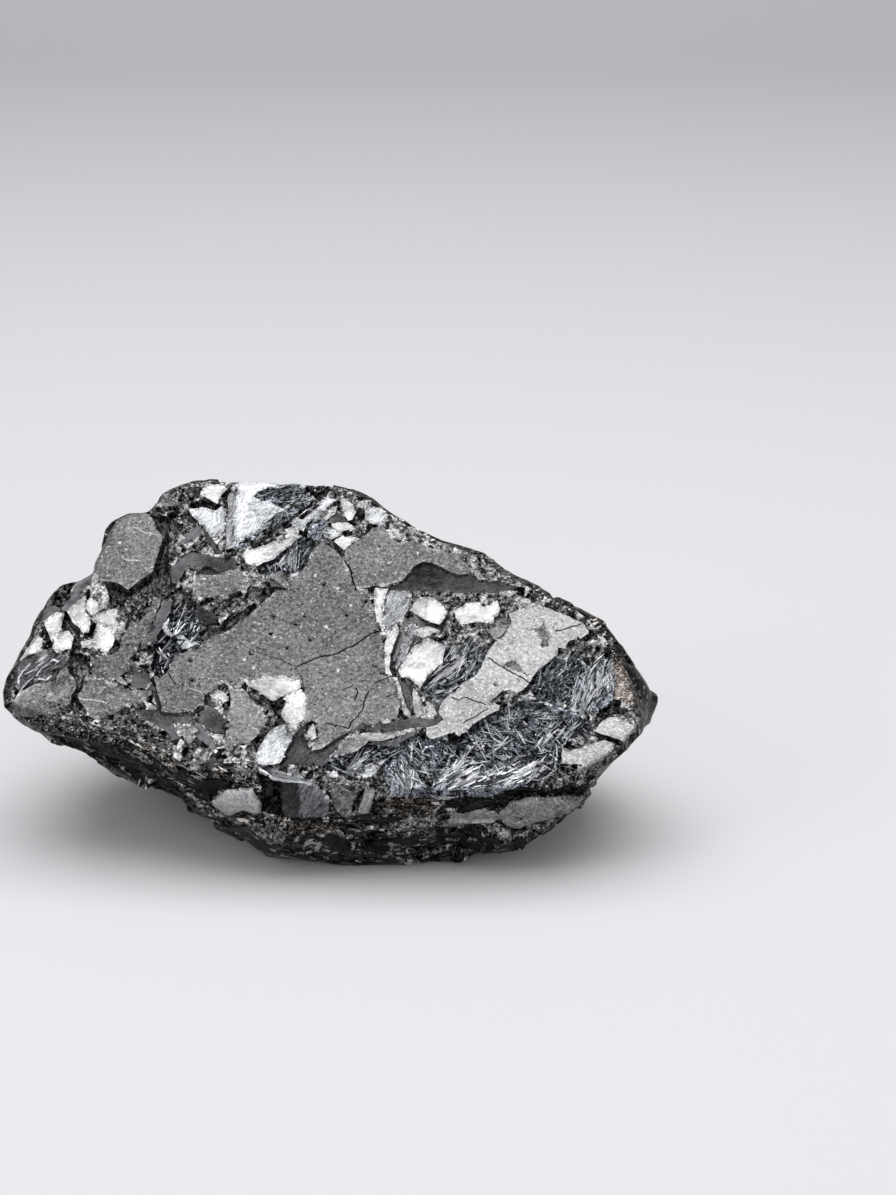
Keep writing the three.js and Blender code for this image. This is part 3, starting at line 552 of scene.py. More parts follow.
# Fans of loose needles on the face: where they spread from (u, v), their first and last
# direction in degrees from u, their length, number, brightness and half width.
FANS = [
    (20.3, -53.5, 62, 118, 11.0, 60, 0.60, 0.32),
    (21.3, -52.5, 72, 100, 9.0, 22, 1.00, 0.42),
    (18.8, -41.5, -62, -38, 10.0, 34, 0.60, 0.32),
    (29.5, -50.5, 38, 66, 10.0, 30, 1.00, 0.50),
    (31.0, -52.0, 22, 42, 13.0, 30, 0.95, 0.55),
    (38.0, -51.5, 20, 36, 14.0, 34, 0.95, 0.55),
    (46.0, -51.0, 26, 44, 12.0, 30, 1.00, 0.50),
    (51.0, -50.5, 35, 60, 9.0, 22, 0.85, 0.40),
    (42.0, -41.2, 40, 50, 11.0, 4, 0.95, 0.36),
    (38.2, -38.5, 95, 140, 7.0, 8, 0.90, 0.34),
    (44.0, -45.0, 15, 40, 9.0, 10, 0.80, 0.34),
    (36.5, -41.0, 40, 80, 8.0, 10, 0.80, 0.34),
    (47.0, -34.0, 55, 100, 8.0, 10, 0.80, 0.34),
    (52.0, -38.0, 100, 150, 8.0, 8, 0.85, 0.34),
    (46.0, -40.0, -60, -20, 7.0, 8, 0.80, 0.34),
    (55.0, -38.5, 38, 60, 10.0, 26, 0.85, 0.36),
    (60.5, -37.0, 40, 62, 9.0, 18, 0.80, 0.36),
    (53.0, -28.5, -25, 40, 7.0, 14, 0.70, 0.32),
    (25.0, -20.0, 28, 62, 14.0, 26, 0.80, 0.34),
    (27.0, -22.5, 5, 40, 9.0, 14, 0.75, 0.34),
    (31.0, -12.5, 30, 65, 8.0, 14, 0.80, 0.34),
    (36.0, -12.0, 100, 150, 6.0, 8, 0.75, 0.32),
    (-44.0, -3.5, 60, 85, 8.0, 8, 1.00, 0.44),
    (-39.0, -5.0, 60, 95, 8.5, 8, 1.00, 0.44),
    (-49.0, -5.0, -68, -48, 6.0, 7, 0.90, 0.38),
    (-46.5, -14.0, 50, 110, 6.0, 7, 0.80, 0.36),
    (66.0, -29.0, 55, 85, 13.0, 44, 0.72, 0.34),
    (71.0, -24.0, 60, 95, 11.0, 34, 0.75, 0.34),
    (-12.5, 18.5, 85, 105, 11.0, 30, 0.62, 0.34),
    (-17.0, 20.0, 38, 60, 9.0, 10, 0.80, 0.36),
    (4.0, -47.5, 15, 60, 9.0, 20, 0.75, 0.34),
    (-13.0, 42.0, 20, 60, 5.0, 16, 0.80, 0.32),
]

# Loose needles for each mesh triangle of a fibrous patch, besides those of the fans, and the seed
# of both.
NEEDLES_PER_TRIANGLE = 0.08
NEEDLE_SEED = 5

# The broken ground between the patches, as a patch with no outline. Its shards lie along the grain
# and are this many times as long and wide as their size.
GROUND = Patch("grain", 0.45, -0.9, 50, [])
GROUND_STRETCH = (1.9, 1.0)

# Patches of the rock below the parting face, as seen from the front: the same values, with the
# outline in x and z. Their brightness is the rock's own tone together with painted light and
# shade, set higher where less light reaches the front.
FRONT_PATCHES = [Patch(*row) for row in [
    # Left underside.
    ("grain", 0.21, 0.6, -10, [(-83, 39.5), (-70, 40.3), (-60, 38.8), (-51, 37.3), (-57, 35.5),
     (-72, 36), (-82, 37)]),
    ("hole", 0.06, -1.5, -25, [(-72, 36), (-63, 35.5), (-52, 36), (-44, 33), (-42, 28), (-50, 24),
     (-58, 28), (-66, 29), (-72, 33)]),
    ("rust", 0.26, 0.4, -30, [(-74, 25), (-71, 26.5), (-66, 24.5), (-62, 21.7), (-64, 19.3),
     (-69, 20.8)]),
    ("slate", 0.16, 0.6, -35, [(-73, 31), (-68, 27.5), (-66, 24.5), (-71, 26.5), (-76, 28)]),
    ("slate", 0.14, 0.8, -40, [(-57, 15.5), (-50, 10.5), (-44, 8), (-48, 6), (-55, 9), (-60, 13)]),
    ("hole", 0.04, -1.5, 0, [(-45, 27), (-40, 27), (-37, 21), (-37, 14), (-44, 12), (-49, 16),
     (-47, 22)]),
    # Middle, from the rim down.
    ("satin", 0.66, 0.3, 50, [(-36, 31), (-33, 33.5), (-30, 35.3), (-28, 36), (-27, 35.3),
     (-28.3, 33.8), (-31, 31.8)]),
    ("slate", 0.20, -0.6, 20, [(-31.5, 31.8), (-27.5, 35), (-24, 34), (-26, 32.5), (-29.5, 31.8)]),
    ("slate", 0.17, -0.4, 30, [(-33, 28), (-29, 29.5), (-24, 29), (-28.5, 24.8), (-30, 22),
     (-34, 20), (-37, 24)]),
    ("grain", 0.48, 0.3, 0, [(-23, 33.2), (-19.5, 33), (-17.5, 32), (-17.2, 30), (-20, 29.5),
     (-23, 29.3), (-23.5, 31)]),
    ("hole", 0.06, -2.2, 80, [(-18, 31.5), (-16, 29), (-15.5, 24), (-15.8, 21), (-13, 20),
     (-11, 19.8), (-10.8, 24), (-12, 30)]),
    ("slate", 0.23, -0.8, 75, [(-15, 29.3), (-12.6, 29), (-12.8, 25), (-14.6, 24)]),
    ("slate", 0.23, 0.0, 80, [(-10.5, 29.2), (-6.5, 29.3), (-5.2, 24), (-6, 19.3), (-9.5, 20),
     (-11.5, 23.5)]),
    ("blade", 0.47, 0.2, 65, [(-6.5, 29.3), (-2.5, 29.2), (0, 27.5), (1.5, 24), (1.8, 21),
     (0.5, 19.8), (-6, 19.3), (-5.2, 24)]),
    ("satin", 0.58, 0.4, 80, [(2, 28.3), (4, 29.5), (9, 30), (10, 27.5), (9, 25), (8, 21.5),
     (5, 21), (3, 22.5)]),
    ("hole", 0.14, -0.8, 0, [(3.7, 27.5), (4.8, 28.3), (6, 27.5), (5, 26.3)]),
    ("hole", 0.07, -1.4, 70, [(8.3, 22), (9.8, 24), (11.8, 28.5), (10.3, 28.2), (8.6, 24.5)]),
    ("satin", 0.79, 0.9, 75, [(12, 30.5), (14.8, 30.3), (13.8, 26), (12.5, 21), (10.8, 20.8),
     (9.5, 21.5), (10.5, 24), (11.5, 28)]),
    ("grain", 0.51, 0.2, 0, [(15, 30.5), (20, 30), (23, 28.5), (21, 26), (16, 25.5), (14.2, 24.5),
     (14.5, 27)]),
    ("rust", 0.20, -0.5, 0, [(14, 24.3), (21, 25.8), (27, 25.5), (30, 22), (28, 20), (20, 20.3),
     (13, 20.5)]),
    ("grain", 0.52, 0.4, 0, [(15, 20.8), (16, 22), (19, 22), (19.3, 20.8)]),
    ("grain", 0.76, 0.0, 5, [(29, 30.5), (40, 30), (50, 31), (57, 31.5), (60, 29.8), (54, 29.3),
     (50, 28.4), (46, 27.8), (40, 27), (36, 25.6), (33, 24.6), (31, 25)]),
    ("matte", 0.94, 1.6, 50, [(-27.8, 24.5), (-25, 26.8), (-21.5, 27.5), (-18, 27.7), (-17, 25.5),
     (-16, 22.5), (-16.3, 20.5), (-18, 19.8), (-20.5, 20.5), (-22.5, 19.5), (-24.5, 18),
     (-27, 18.3), (-27.3, 20), (-29, 20.5), (-30, 19), (-29.3, 22)]),
    # Ledges of the lower edge, left to right.
    ("grain", 0.40, 0.9, -20, [(-21, 14.5), (-17, 17), (-11, 16.8), (-9, 14.5), (-11, 12.5),
     (-14, 9.8), (-17, 12)]),
    ("rust", 0.22, 0.7, 0, [(-10, 19), (-4, 17.8), (2, 17.5), (4, 16), (1, 14.8), (-3, 14.5),
     (-8, 14)]),
    ("grain", 0.53, 0.7, 0, [(3.5, 22.3), (8, 22), (9.5, 21), (8, 20.2), (5, 20.2)]),
    ("slate", 0.16, 0.5, -30, [(0, 14.5), (4, 14.5), (7.5, 12.5), (6.5, 7), (1.5, 7.5), (0.3, 11)]),
    ("blade", 1.00, 1.2, 60, [(-5, 10.8), (-3.6, 12.3), (-2.3, 12.2), (-4.3, 9.3), (-5.5, 9)]),
    ("blade", 1.00, 1.2, 65, [(-1.8, 11.4), (-0.4, 11.4), (-0.2, 9), (-2, 6), (-3, 7.5),
     (-2.2, 9)]),
    ("bright", 1.00, 1.0, 0, [(-2, 14.2), (1.1, 14.7), (-0.4, 12.9)]),
    ("bright", 0.83, 0.6, 70, [(-7.3, 13.5), (-6, 13.6), (-5.8, 11.6), (-7.2, 11.5)]),
    ("grain", 0.46, 1.2, 5, [(17, 15), (20, 17.5), (23, 19.6), (26, 18.8), (30, 18.2), (31, 16),
     (29, 15.3), (24, 15.4), (19, 14.4)]),
    ("grain", 0.39, 0.6, 0, [(26, 14), (30, 14.2), (31, 12.4), (28, 12), (26.5, 13)]),
    ("hole", 0.05, -2.6, 5, [(32, 24.7), (36, 25.6), (40, 26.8), (46, 27.5), (50, 27.8), (54, 29),
     (60, 28.7), (65, 27.3), (70, 25.5), (72, 23), (66, 23.3), (60, 24.3), (55, 24.8), (51, 24),
     (48.5, 22), (46.5, 20), (43, 21), (40, 20.8), (36.5, 19.5), (33, 20), (31, 22)]),
    ("slate", 0.18, -1.6, 30, [(36, 20.5), (40, 23.5), (42, 25), (43, 22), (40, 20.8)]),
    ("grain", 0.71, 0.4, 0, [(32.3, 21.5), (34.7, 21.2), (34.7, 20), (33, 20.2)]),
    ("satin", 0.75, 1.4, 20, [(34, 19.5), (37, 19.5), (40, 20.8), (43, 21.4), (45.8, 19.7),
     (46.5, 17), (44, 15.5), (38, 15.3), (33, 14.4), (31, 14), (31.5, 16), (33.5, 18)]),
    ("satin", 0.69, 1.7, 10, [(46, 19), (48.5, 22), (50.5, 23.8), (55, 25), (60, 24.8), (66, 23.8),
     (70, 22.5), (68, 20), (66, 18.5), (62.5, 18), (59, 17), (57, 16.2), (55, 15), (51.5, 13.8),
     (48, 15.3), (46.5, 17)]),
    ("hole", 0.15, -0.4, 0, [(51.5, 18.9), (52.5, 18.8), (52.3, 18.0), (51.4, 18.1)]),
    ("grain", 0.67, 1.2, -20, [(41.5, 14.8), (45, 13), (47, 11), (50, 10.3), (52, 11.8), (49, 13.5),
     (46, 14.6)]),
    ("grain", 0.53, 1.0, 10, [(53, 13.5), (57, 14.3), (62, 15), (62, 13.5), (57, 12.2)]),
    ("slate", 0.14, 0.8, -5, [(10, 9.5), (17, 11), (25, 12), (25, 8.5), (20, 6), (13, 6)]),
    ("slate", 0.13, 0.4, 0, [(30, 12), (40, 13.5), (46, 9), (44, 5), (36, 6.5), (30, 8)]),
]]

# Bright streaks and edges on that rock, as CRACKS, with the route in x and z.
FRONT_STREAKS = [
    (0.45, -0.3, 0.60, [(-50, 34.5), (-47.5, 33.5), (-45, 32)]),
    (0.40, -0.2, 0.48, [(-50.5, 33), (-47, 31.5), (-45, 31)]),
    (0.60, -0.4, 0.55, [(-64, 32), (-62, 31)]),
    (0.45, -0.2, 0.40, [(-64.5, 33.7), (-63, 33.5)]),
    (0.70, -0.3, 0.70, [(-47, 25.3), (-46, 25.2)]),
    (0.40, -0.2, 0.50, [(-54.3, 27), (-53.5, 26.5)]),
    (0.40, -0.3, 0.80, [(-49.3, 18), (-47.8, 16.8)]),
    (0.50, -0.3, 0.80, [(-55, 14.8), (-54, 13.5), (-53, 12.8)]),
    (0.35, -0.3, 0.65, [(-66, 26.8), (-64.5, 26), (-63.2, 25)]),
    (0.35, -0.5, 0.36, [(-83.5, 38.5), (-77, 34), (-70, 29.5), (-66, 26)]),
    (0.40, -0.6, 0.42, [(-56.5, 17), (-51, 12), (-46, 8.8), (-40, 6.5), (-36, 5)]),
    (0.35, -0.2, 0.65, [(-50, 22.5), (-50.4, 20.8)]),
    (0.70, -0.4, 0.66, [(-36, 23), (-34, 20.8), (-32.3, 18.5)]),
    (0.35, -0.2, 0.45, [(-37, 25), (-34, 24.3), (-32, 23)]),
    (0.60, -0.3, 0.62, [(-38.5, 10.5), (-36, 10.5), (-34, 9)]),
    (0.35, -0.3, 0.45, [(-28.5, 17), (-25.5, 16)]),
    (0.45, -0.3, 0.78, [(-22, 17.3), (-20, 17)]),
    (0.35, -0.3, 0.50, [(-15, 20), (-12.5, 18.8), (-10, 17.5)]),
    (0.30, -0.3, 0.45, [(-14.5, 18.8), (-11, 17)]),
    (0.45, -0.4, 0.75, [(-17.8, 32.8), (-13, 31.4), (-8, 30), (-3, 29.8), (0, 28), (1.3, 24.5)]),
    (0.45, -0.4, 0.50, [(0, 16), (3, 14.5), (7.5, 12.5)]),
    (0.30, -0.3, 0.50, [(8, 11), (8.3, 8.5), (9.5, 7)]),
    (0.40, -0.4, 0.55, [(17.5, 9.5), (20, 8.5), (23, 7.5), (27, 7)]),
    (0.60, -0.3, 0.48, [(17, 5.5), (18.5, 7.4), (20.3, 7.6)]),
    (0.40, -0.3, 0.36, [(10, 6), (14, 6), (17, 5)]),
    (0.40, -0.4, 0.52, [(18, 5), (21, 3), (24.5, 1)]),
    (0.35, -0.3, 0.42, [(45.5, 9), (46.8, 6), (45.8, 2)]),
    (0.35, -0.3, 0.36, [(43, 8.5), (42, 5)]),
    (0.50, -0.3, 0.55, [(33, 10), (35.5, 9.6)]),
    (0.60, -0.3, 0.55, [(38.3, 9.8), (40, 10)]),
    (0.50, -0.3, 0.36, [(34.5, 4), (37, 4.3), (39.5, 5)]),
    (0.40, -0.3, 0.60, [(26.3, 22.3), (27.5, 21), (29.5, 20.5), (31, 22.5), (31.8, 24)]),
    (0.35, -0.3, 0.45, [(13, 14), (17, 14.5), (22, 14), (27, 14.8)]),
    (0.30, -0.2, 0.66, [(45, 20), (46.5, 17.5), (49.5, 15)]),
    (0.25, -0.2, 0.64, [(52, 20.3), (53.3, 17.5), (54.5, 15.8)]),
    (0.25, -0.2, 0.64, [(61, 22.8), (62.5, 21), (64, 19.5)]),
    (0.50, -0.3, 0.50, [(22, 25), (28, 27.3), (31, 25)]),
]

# The share of light that a surface of brightness 1 sends back, and how many grains of sand and
# mottles lie along a metre of it.
BRIGHTEST = 0.44
SAND_SCALE = 2300.0
MOTTLE_SCALE = 1000.0

# How much darker the overhanging front is than the rest of the rock: painted shade.
FRONT_SHADE = 0.86


# Noise and shapes, all on rows of points. A seed is any whole number, its own for each use.

def hashed(cells, seed):
    """Repeatable random numbers, -1 to 1, for rows of whole numbers."""
    steps = np.array([127.1, 311.7, 74.7])[: cells.shape[-1]]
    waves = np.sin(cells @ steps + seed * 57.31) * 43758.5453
    return 2 * (waves - np.floor(waves)) - 1


def noise(points, size, seed):
    """Smooth noise, -1 to 1, with bumps of this size."""
    grid = points / size
    cell = np.floor(grid)
    part = grid - cell
    fade = part * part * (3 - 2 * part)
    total = np.zeros(len(points))
    for corner in itertools.product((0, 1), repeat=points.shape[1]):
        weight = np.prod(np.where(corner, fade, 1 - fade), axis=1)
        total += weight * hashed(cell + corner, seed)
    return total


def facets(points, size, seed):
    """Noise that is flat between the corners of a lattice, as a hackly fracture is."""
    count = points.shape[1]
    grid = points / size
    skewed = grid + grid.sum(axis=1, keepdims=True) * (math.sqrt(count + 1) - 1) / count
    cell = np.floor(skewed)
    part = skewed - cell
    order = np.argsort(-part, axis=1)
    ranked = np.take_along_axis(part, order, axis=1)
    rows = np.arange(len(points))
    total = hashed(cell, seed) * (1 - ranked[:, 0])
    for k in range(count):
        cell[rows, order[:, k]] += 1
        below = ranked[:, k + 1] if k + 1 < count else 0
        total += hashed(cell, seed) * (ranked[:, k] - below)
    return total


def nearest_seeds(points, size, seed):
    """The lattice cell of each point's nearest scattered seed, and the way from that seed."""
    base = np.floor(points / size)
    cell = base.copy()
    way = np.full(points.shape, np.inf)
    for step in itertools.product((-1, 0, 1), repeat=points.shape[1]):
        other = base + step
        jitter = np.stack([hashed(other, seed + k) for k in range(points.shape[1])], axis=1)
        offset = points - (other + 0.5 + 0.45 * jitter) * size
        closer = (offset ** 2).sum(axis=1) < (way ** 2).sum(axis=1)
        cell[closer] = other[closer]
        way[closer] = offset[closer]
    return cell, way


def shard_values(points, size, seed):
    """A random number, -1 to 1, for each of the shards that the points lie on."""
    return hashed(nearest_seeds(points, size, seed)[0], seed + 9)


def shard_relief(points, size, seed, step, tilt):
    """Relief of flat shards, each with its own height and tilt, as broken crystals have."""
    cell, way = nearest_seeds(points, size, seed)
    slope = np.stack([hashed(cell, seed + 5 + k) for k in range(points.shape[1])], axis=1)
    return step * hashed(cell, seed + 9) + tilt * (slope * way).sum(axis=1)


def smooth_step(values, low, high):
    """0 below the low value and 1 above the high one, with a smooth rise between them."""
    share = np.clip((values - low) / (high - low), 0, 1)
    return share * share * (3 - 2 * share)


def wander(points):
    """Moves points of u and v a little, so that drawn lines break like real edges."""
    moved = points.copy()
    for axis in (0, 1):
        shift = 0.34 * noise(points, 2.9, 11 + axis) + 0.16 * facets(points, 1.1, 21 + axis)
        moved[:, axis] += shift
    return moved


def spread(corners, step, closed=True):
    """Points along a line of corners, about one step apart."""
    corners = np.array(corners, float)
    ends = np.roll(corners, -1, axis=0) if closed else corners[1:]
    starts = corners if closed else corners[:-1]
    made = []
    for start, end in zip(starts, ends):
        count = max(1, round(np.linalg.norm(end - start) / step))
        shares = np.arange(count)[:, None] / count
        made.append(start + (end - start) * shares)
    if not closed:
        made.append(corners[-1:])
    return np.concatenate(made)


def drawn_line(corners, step, closed=False):
    """A line of the tables as closely spaced points that wander like a real edge."""
    return wander(spread(corners, step, closed))


def is_inside(points, outline):
    """Whether each point lies inside a closed outline."""
    start = outline
    end = np.roll(outline, -1, axis=0)
    low = np.minimum(start[:, 1], end[:, 1])
    high = np.maximum(start[:, 1], end[:, 1])
    result = np.zeros(len(points), bool)
    bands = np.floor(points[:, 1]).astype(int)
    for band in np.unique(bands):
        rows = np.flatnonzero(bands == band)
        used = np.flatnonzero((high >= band) & (low < band + 1))
        a = start[used]
        edge = end[used] - a
        offset = points[rows][:, None] - a
        crosses = (offset[..., 1] < 0) != (offset[..., 1] < edge[:, 1])
        rise = np.where(edge[:, 1] == 0, 1e-12, edge[:, 1])
        crosses &= offset[..., 0] < edge[:, 0] * offset[..., 1] / rise
        result[rows] = crosses.sum(axis=1) % 2 == 1
    return result


def nearest_points(points, targets):
    """For each point of a plane, the number of its nearest target and the distance to it."""
    tree = KDTree(len(targets))
    for number, p in enumerate(targets):
        tree.insert((p[0], p[1], 0.0), number)
    tree.balance()
    found = [tree.find((u, v, 0.0))[1:] for u, v in points.tolist()]
    return np.array([f[0] for f in found], int), np.array([f[1] for f in found])


def way_to_line(points, line, closed=False):
    """The way from each point to the nearest place on a line of closely spaced points."""
    nearest = nearest_points(points, line)[0]
    best = np.full(points.shape, np.inf)
    for step in (-1, 1):
        other = nearest + step
        other = other % len(line) if closed else np.clip(other, 0, len(line) - 1)
        start = line[nearest]
        edge = line[other] - start
        square = np.maximum((edge ** 2).sum(axis=1), 1e-12)
        share = np.clip(((points - start) * edge).sum(axis=1) / square, 0, 1)
        way = start + share[:, None] * edge - points
        closer = (way ** 2).sum(axis=1) < (best ** 2).sum(axis=1)
        best[closer] = way[closer]
    return best


def distance_to_line(points, line, closed=False):
    """Distance from each point to a line of closely spaced points."""
    return np.linalg.norm(way_to_line(points, line, closed), axis=1)


def distance_inside(points, outline):
    """Distance from each point to a closed outline, above 0 inside it."""
    if not len(points):
        return np.zeros(0)
    distance = distance_to_line(points, outline, closed=True)
    return np.where(is_inside(points, outline), distance, -distance)


def near_box(points, outline, margin):
    """Numbers of the points inside the box round an outline, widened by a margin."""
    low = outline.min(axis=0) - margin
    high = outline.max(axis=0) + margin
    return np.flatnonzero(((points > low) & (points < high)).all(axis=1))


def to_face(points):
    """Points of the stone as u, v and height over the parting face."""
    offset = points - FACE_POINT
    return np.stack([offset @ FACE_U, offset @ FACE_V, offset @ FACE_N], axis=1)


def from_face(spots, height):
    """Points of the stone from u and v on the parting face, and the height over it."""
    return FACE_POINT + spots[:, :1] * FACE_U + spots[:, 1:2] * FACE_V + height[:, None] * FACE_N


# The stone round the parting face.

def wanted_step(points):
    """How long the mesh's edges may be at each point of the stone."""
    spots = to_face(points)
    depth = distance_inside(spots[:, :2], spread(FACE_EDGE, 2.0))
    by_rim = (np.abs(depth) < RIM_BAND) & (spots[:, 2] > -RIM_DEPTH)
    cut_away = (depth > RIM_BAND) & (spots[:, 2] > -CUT_DEPTH)
    in_front = (spots[:, 1] < -25) & (points[:, 2] > 1) & (points[:, 1] < 0)
    step = np.where(in_front, FRONT_STEP, BACK_STEP)
    step = np.where(by_rim, RIM_STEP, step)
    return np.where(cut_away, CUT_STEP, step)


def split_triangles(points, triangles, middle):
    """Triangles cut at the new vertices in the middle of their edges, -1 where there is none."""
    count = (middle >= 0).sum(axis=1)
    first = np.where(count == 1, middle.argmax(axis=1), middle.argmin(axis=1) + 1)
    order = (first[:, None] + np.arange(3)) % 3
    a, b, c = np.take_along_axis(triangles, order, axis=1).T
    ab, bc, ca = np.take_along_axis(middle, order, axis=1).T
    across = np.linalg.norm(points[a] - points[bc], axis=1)
    shorter = across < np.linalg.norm(points[ab] - points[c], axis=1)
    ahead = np.where(shorter, bc, c)
    behind = np.where(shorter, a, ab)
    pieces = [
        (0, (a, b, c)),
        (1, (a, ab, c)), (1, (ab, b, c)),
        (2, (ab, b, bc)), (2, (a, ab, ahead)), (2, (behind, bc, c)),
        (3, (a, ab, ca)), (3, (ab, b, bc)), (3, (ca, bc, c)), (3, (ab, bc, ca)),
    ]
    return np.concatenate([np.stack(corners, axis=1)[count == cuts] for cuts, corners in pieces])


def refine(bm):
    """Halves the long edges until the mesh is fine enough everywhere."""
    bm.verts.index_update()
    points = np.array([v.co[:] for v in bm.verts])
    triangles = np.array([[v.index for v in f.verts] for f in bm.faces])
    for _ in range(7):
        pairs = np.sort(np.stack([triangles, np.roll(triangles, -1, axis=1)], axis=2), axis=2)
        keys = pairs[..., 0] * len(points) + pairs[..., 1]
        keys, numbers = np.unique(keys, return_inverse=True)
        ends = points[np.stack([keys // len(points), keys % len(points)], axis=1)]
        middles = ends.mean(axis=1)
        length = np.linalg.norm(ends[:, 0] - ends[:, 1], axis=1)
        long = length > LONG_EDGE * wanted_step(middles)
        if not long.any():
            break
        added = np.full(len(keys), -1)
        added[long] = len(points) + np.arange(long.sum())
        points = np.concatenate([points, middles[long]])
        triangles = split_triangles(points, triangles, added[numbers.reshape(-1, 3)])
    bm.clear()
    vertices = [bm.verts.new(p) for p in points]
    for corners in triangles:
        bm.faces.new([vertices[i] for i in corners])


def even_out(bm, tree, rounds):
    """Moves the vertices to the middle of their neighbours and back onto the stone."""
    for _ in range(rounds):
        bmesh.ops.smooth_vert(
            bm, verts=bm.verts, factor=0.5, use_axis_x=True, use_axis_y=True, use_axis_z=True,
        )
        for vertex in bm.verts:
            vertex.co = tree.find_nearest(vertex.co)[0]


def joined_groups(faces, chosen):
    """The connected groups of the chosen faces, largest first."""
    left = {f for f, wanted in zip(faces, chosen) if wanted}
    groups = []
    while left:
        group = [left.pop()]
        for face in group:
            for edge in face.edges:
                for other in edge.link_faces:
                    if other in left:
                        left.remove(other)
                        group.append(other)
        groups.append(group)
    return sorted(groups, key=len, reverse=True)


def is_pinched(vertex, cut):
    """Whether the border of the faces to cut passes through a vertex more than once."""
    sides = [[f in cut for f in edge.link_faces] for edge in vertex.link_edges]
    return sum(side[0] != side[1] for side in sides) > 2


def stone_without_face(node):
    """The CAD stone as a fine mesh in millimetres, with the parting face cut out of it."""
    bm = bmesh.new()
    bm.from_mesh(node.data)
    bmesh.ops.remove_doubles(bm, verts=bm.verts, dist=1e-6)
    bmesh.ops.scale(bm, vec=(1 / MM,) * 3, verts=bm.verts)
    tree = BVHTree.FromBMesh(bm)
    refine(bm)
    even_out(bm, tree, 3)
    faces = list(bm.faces)
    middles = to_face(np.array([f.calc_center_median()[:] for f in faces]))
    depth = distance_inside(middles[:, :2], spread(FACE_EDGE, 1.0))
    open_part = (depth > 0) & (middles[:, 2] > -RIM_DROP)
    open_part |= (depth > 6) & (middles[:, 2] > -NEAR_FACE)
    cut = set(joined_groups(faces, open_part)[0])
    pinched = True
    while pinched:
        cut = set(faces) - set(joined_groups(faces, [f not in cut for f in faces])[0])
        pinched = [v for v in bm.verts if is_pinched(v, cut)]
        cut.update(f for v in pinched for f in v.link_faces)
    bmesh.ops.delete(bm, geom=list(cut), context="FACES")
    return bm, tree


def rim_loop(bm):
    """Vertices along the hole left by the parting face, in order."""
    following = {}
    for edge in bm.edges:
        if edge.is_boundary:
            loop = edge.link_loops[0]
            following[loop.link_loop_next.vert] = loop.vert
    first = next(iter(following))
    ordered = [first]
    while following[ordered[-1]] is not first:
        ordered.append(following[ordered[-1]])
    return ordered


def even_rim(ordered, tree):
    """Takes the teeth out of the rim, so that it doesn't fold over itself."""
    for _ in range(3):
        places = np.array([v.co[:] for v in ordered])
        beside = (np.roll(places, 1, axis=0) + np.roll(places, -1, axis=0)) / 2
        for vertex, place in zip(ordered, (places + beside) / 2):
            vertex.co = tree.find_nearest(place)[0]


# The parting face.

def cell_of(p, size):
    """The square cell of a plane that a point lies in."""
    return math.floor(p[0] / size), math.floor(p[1] / size)


class Places:
    """Points of a plane, among which a new one is kept only if its place is free."""

    def __init__(self, points):
        self.points = []
        self.cells = {}
        for p in points:
            self.keep(p)

    def keep(self, p):
        """Keeps a point and gives its number."""
        number = len(self.points)
        self.points.append(tuple(p))
        self.cells.setdefault(cell_of(p, SAME_PLACE), []).append(number)
        return number

    def number_at(self, p):
        """The number of the point kept at nearly this place, or of a new one there."""
        u, v = cell_of(p, SAME_PLACE)
        for du, dv in itertools.product((-1, 0, 1), repeat=2):
            for other in self.cells.get((u + du, v + dv), ()):
                if math.dist(self.points[other], p) < SAME_PLACE:
                    return other
        return self.keep(p)


def crack_lines():
    """The middle and the two sides of each crack and vein."""
    lines = []
    for half, _, _, route in CRACKS:
        middle = drawn_line(route, CRACK_STEP)
        along = np.gradient(middle, axis=0)
        along /= np.linalg.norm(along, axis=1, keepdims=True)
        side = np.stack([-along[:, 1], along[:, 0]], axis=1) * (half + 0.05)
        lines += [middle, middle + side, middle - side]
    return lines


def shown_part(line, higher, rim):
    """Which points of a line are inside the rim and not deep under a higher patch."""
    shown = distance_inside(line, rim) > RIM_GAP
    for outline in higher:
        near = near_box(line, outline, 0)
        if len(near):
            shown[near] &= distance_inside(line[near], outline) < LINE_OVERLAP
    return shown


def drawn_lines(rim):
    """Points and edges of the patch outlines and cracks that show, and of the rim."""
    outlines = [drawn_line(patch.outline, FACE_STEP, closed=True) for patch in PATCHES]
    lines = [(outline, True, number) for number, outline in enumerate(outlines)]
    lines += [(line, False, len(PATCHES)) for line in crack_lines()]
    places = Places(rim)
    rim_count = len(rim)
    edges = [(i, (i + 1) % rim_count) for i in range(rim_count)]
    for line, closed, number in reversed(lines):
        shown = shown_part(line, outlines[number + 1:], rim)
        numbers = [places.number_at(p) if seen else -1 for p, seen in zip(line, shown)]
        pairs = zip(numbers, numbers[1:] + (numbers[:1] if closed else []))
        edges += [(a, b) for a, b in pairs if a >= rim_count and b >= rim_count and a != b]
    return np.array(places.points), sorted(set(edges)), outlines


def free_points(points, rim):
    """Points of an even grid inside the rim, clear of the points that are there already."""
    taken = set()
    for p in points:
        u, v = cell_of(p, FREE_CELL)
        taken.update((u + du, v + dv) for du, dv in itertools.product((-1, 0, 1), repeat=2))
    low = rim.min(axis=0)
    high = rim.max(axis=0)
    grid = [
        (u + (k % 2) * FACE_STEP / 2, v)
        for k, v in enumerate(np.arange(low[1], high[1], FACE_STEP * math.sqrt(3) / 2))
        for u in np.arange(low[0], high[0], FACE_STEP)
    ]
    free = np.array([p for p in grid if cell_of(p, FREE_CELL) not in taken])
    return free[distance_inside(free, rim) > RIM_GAP]


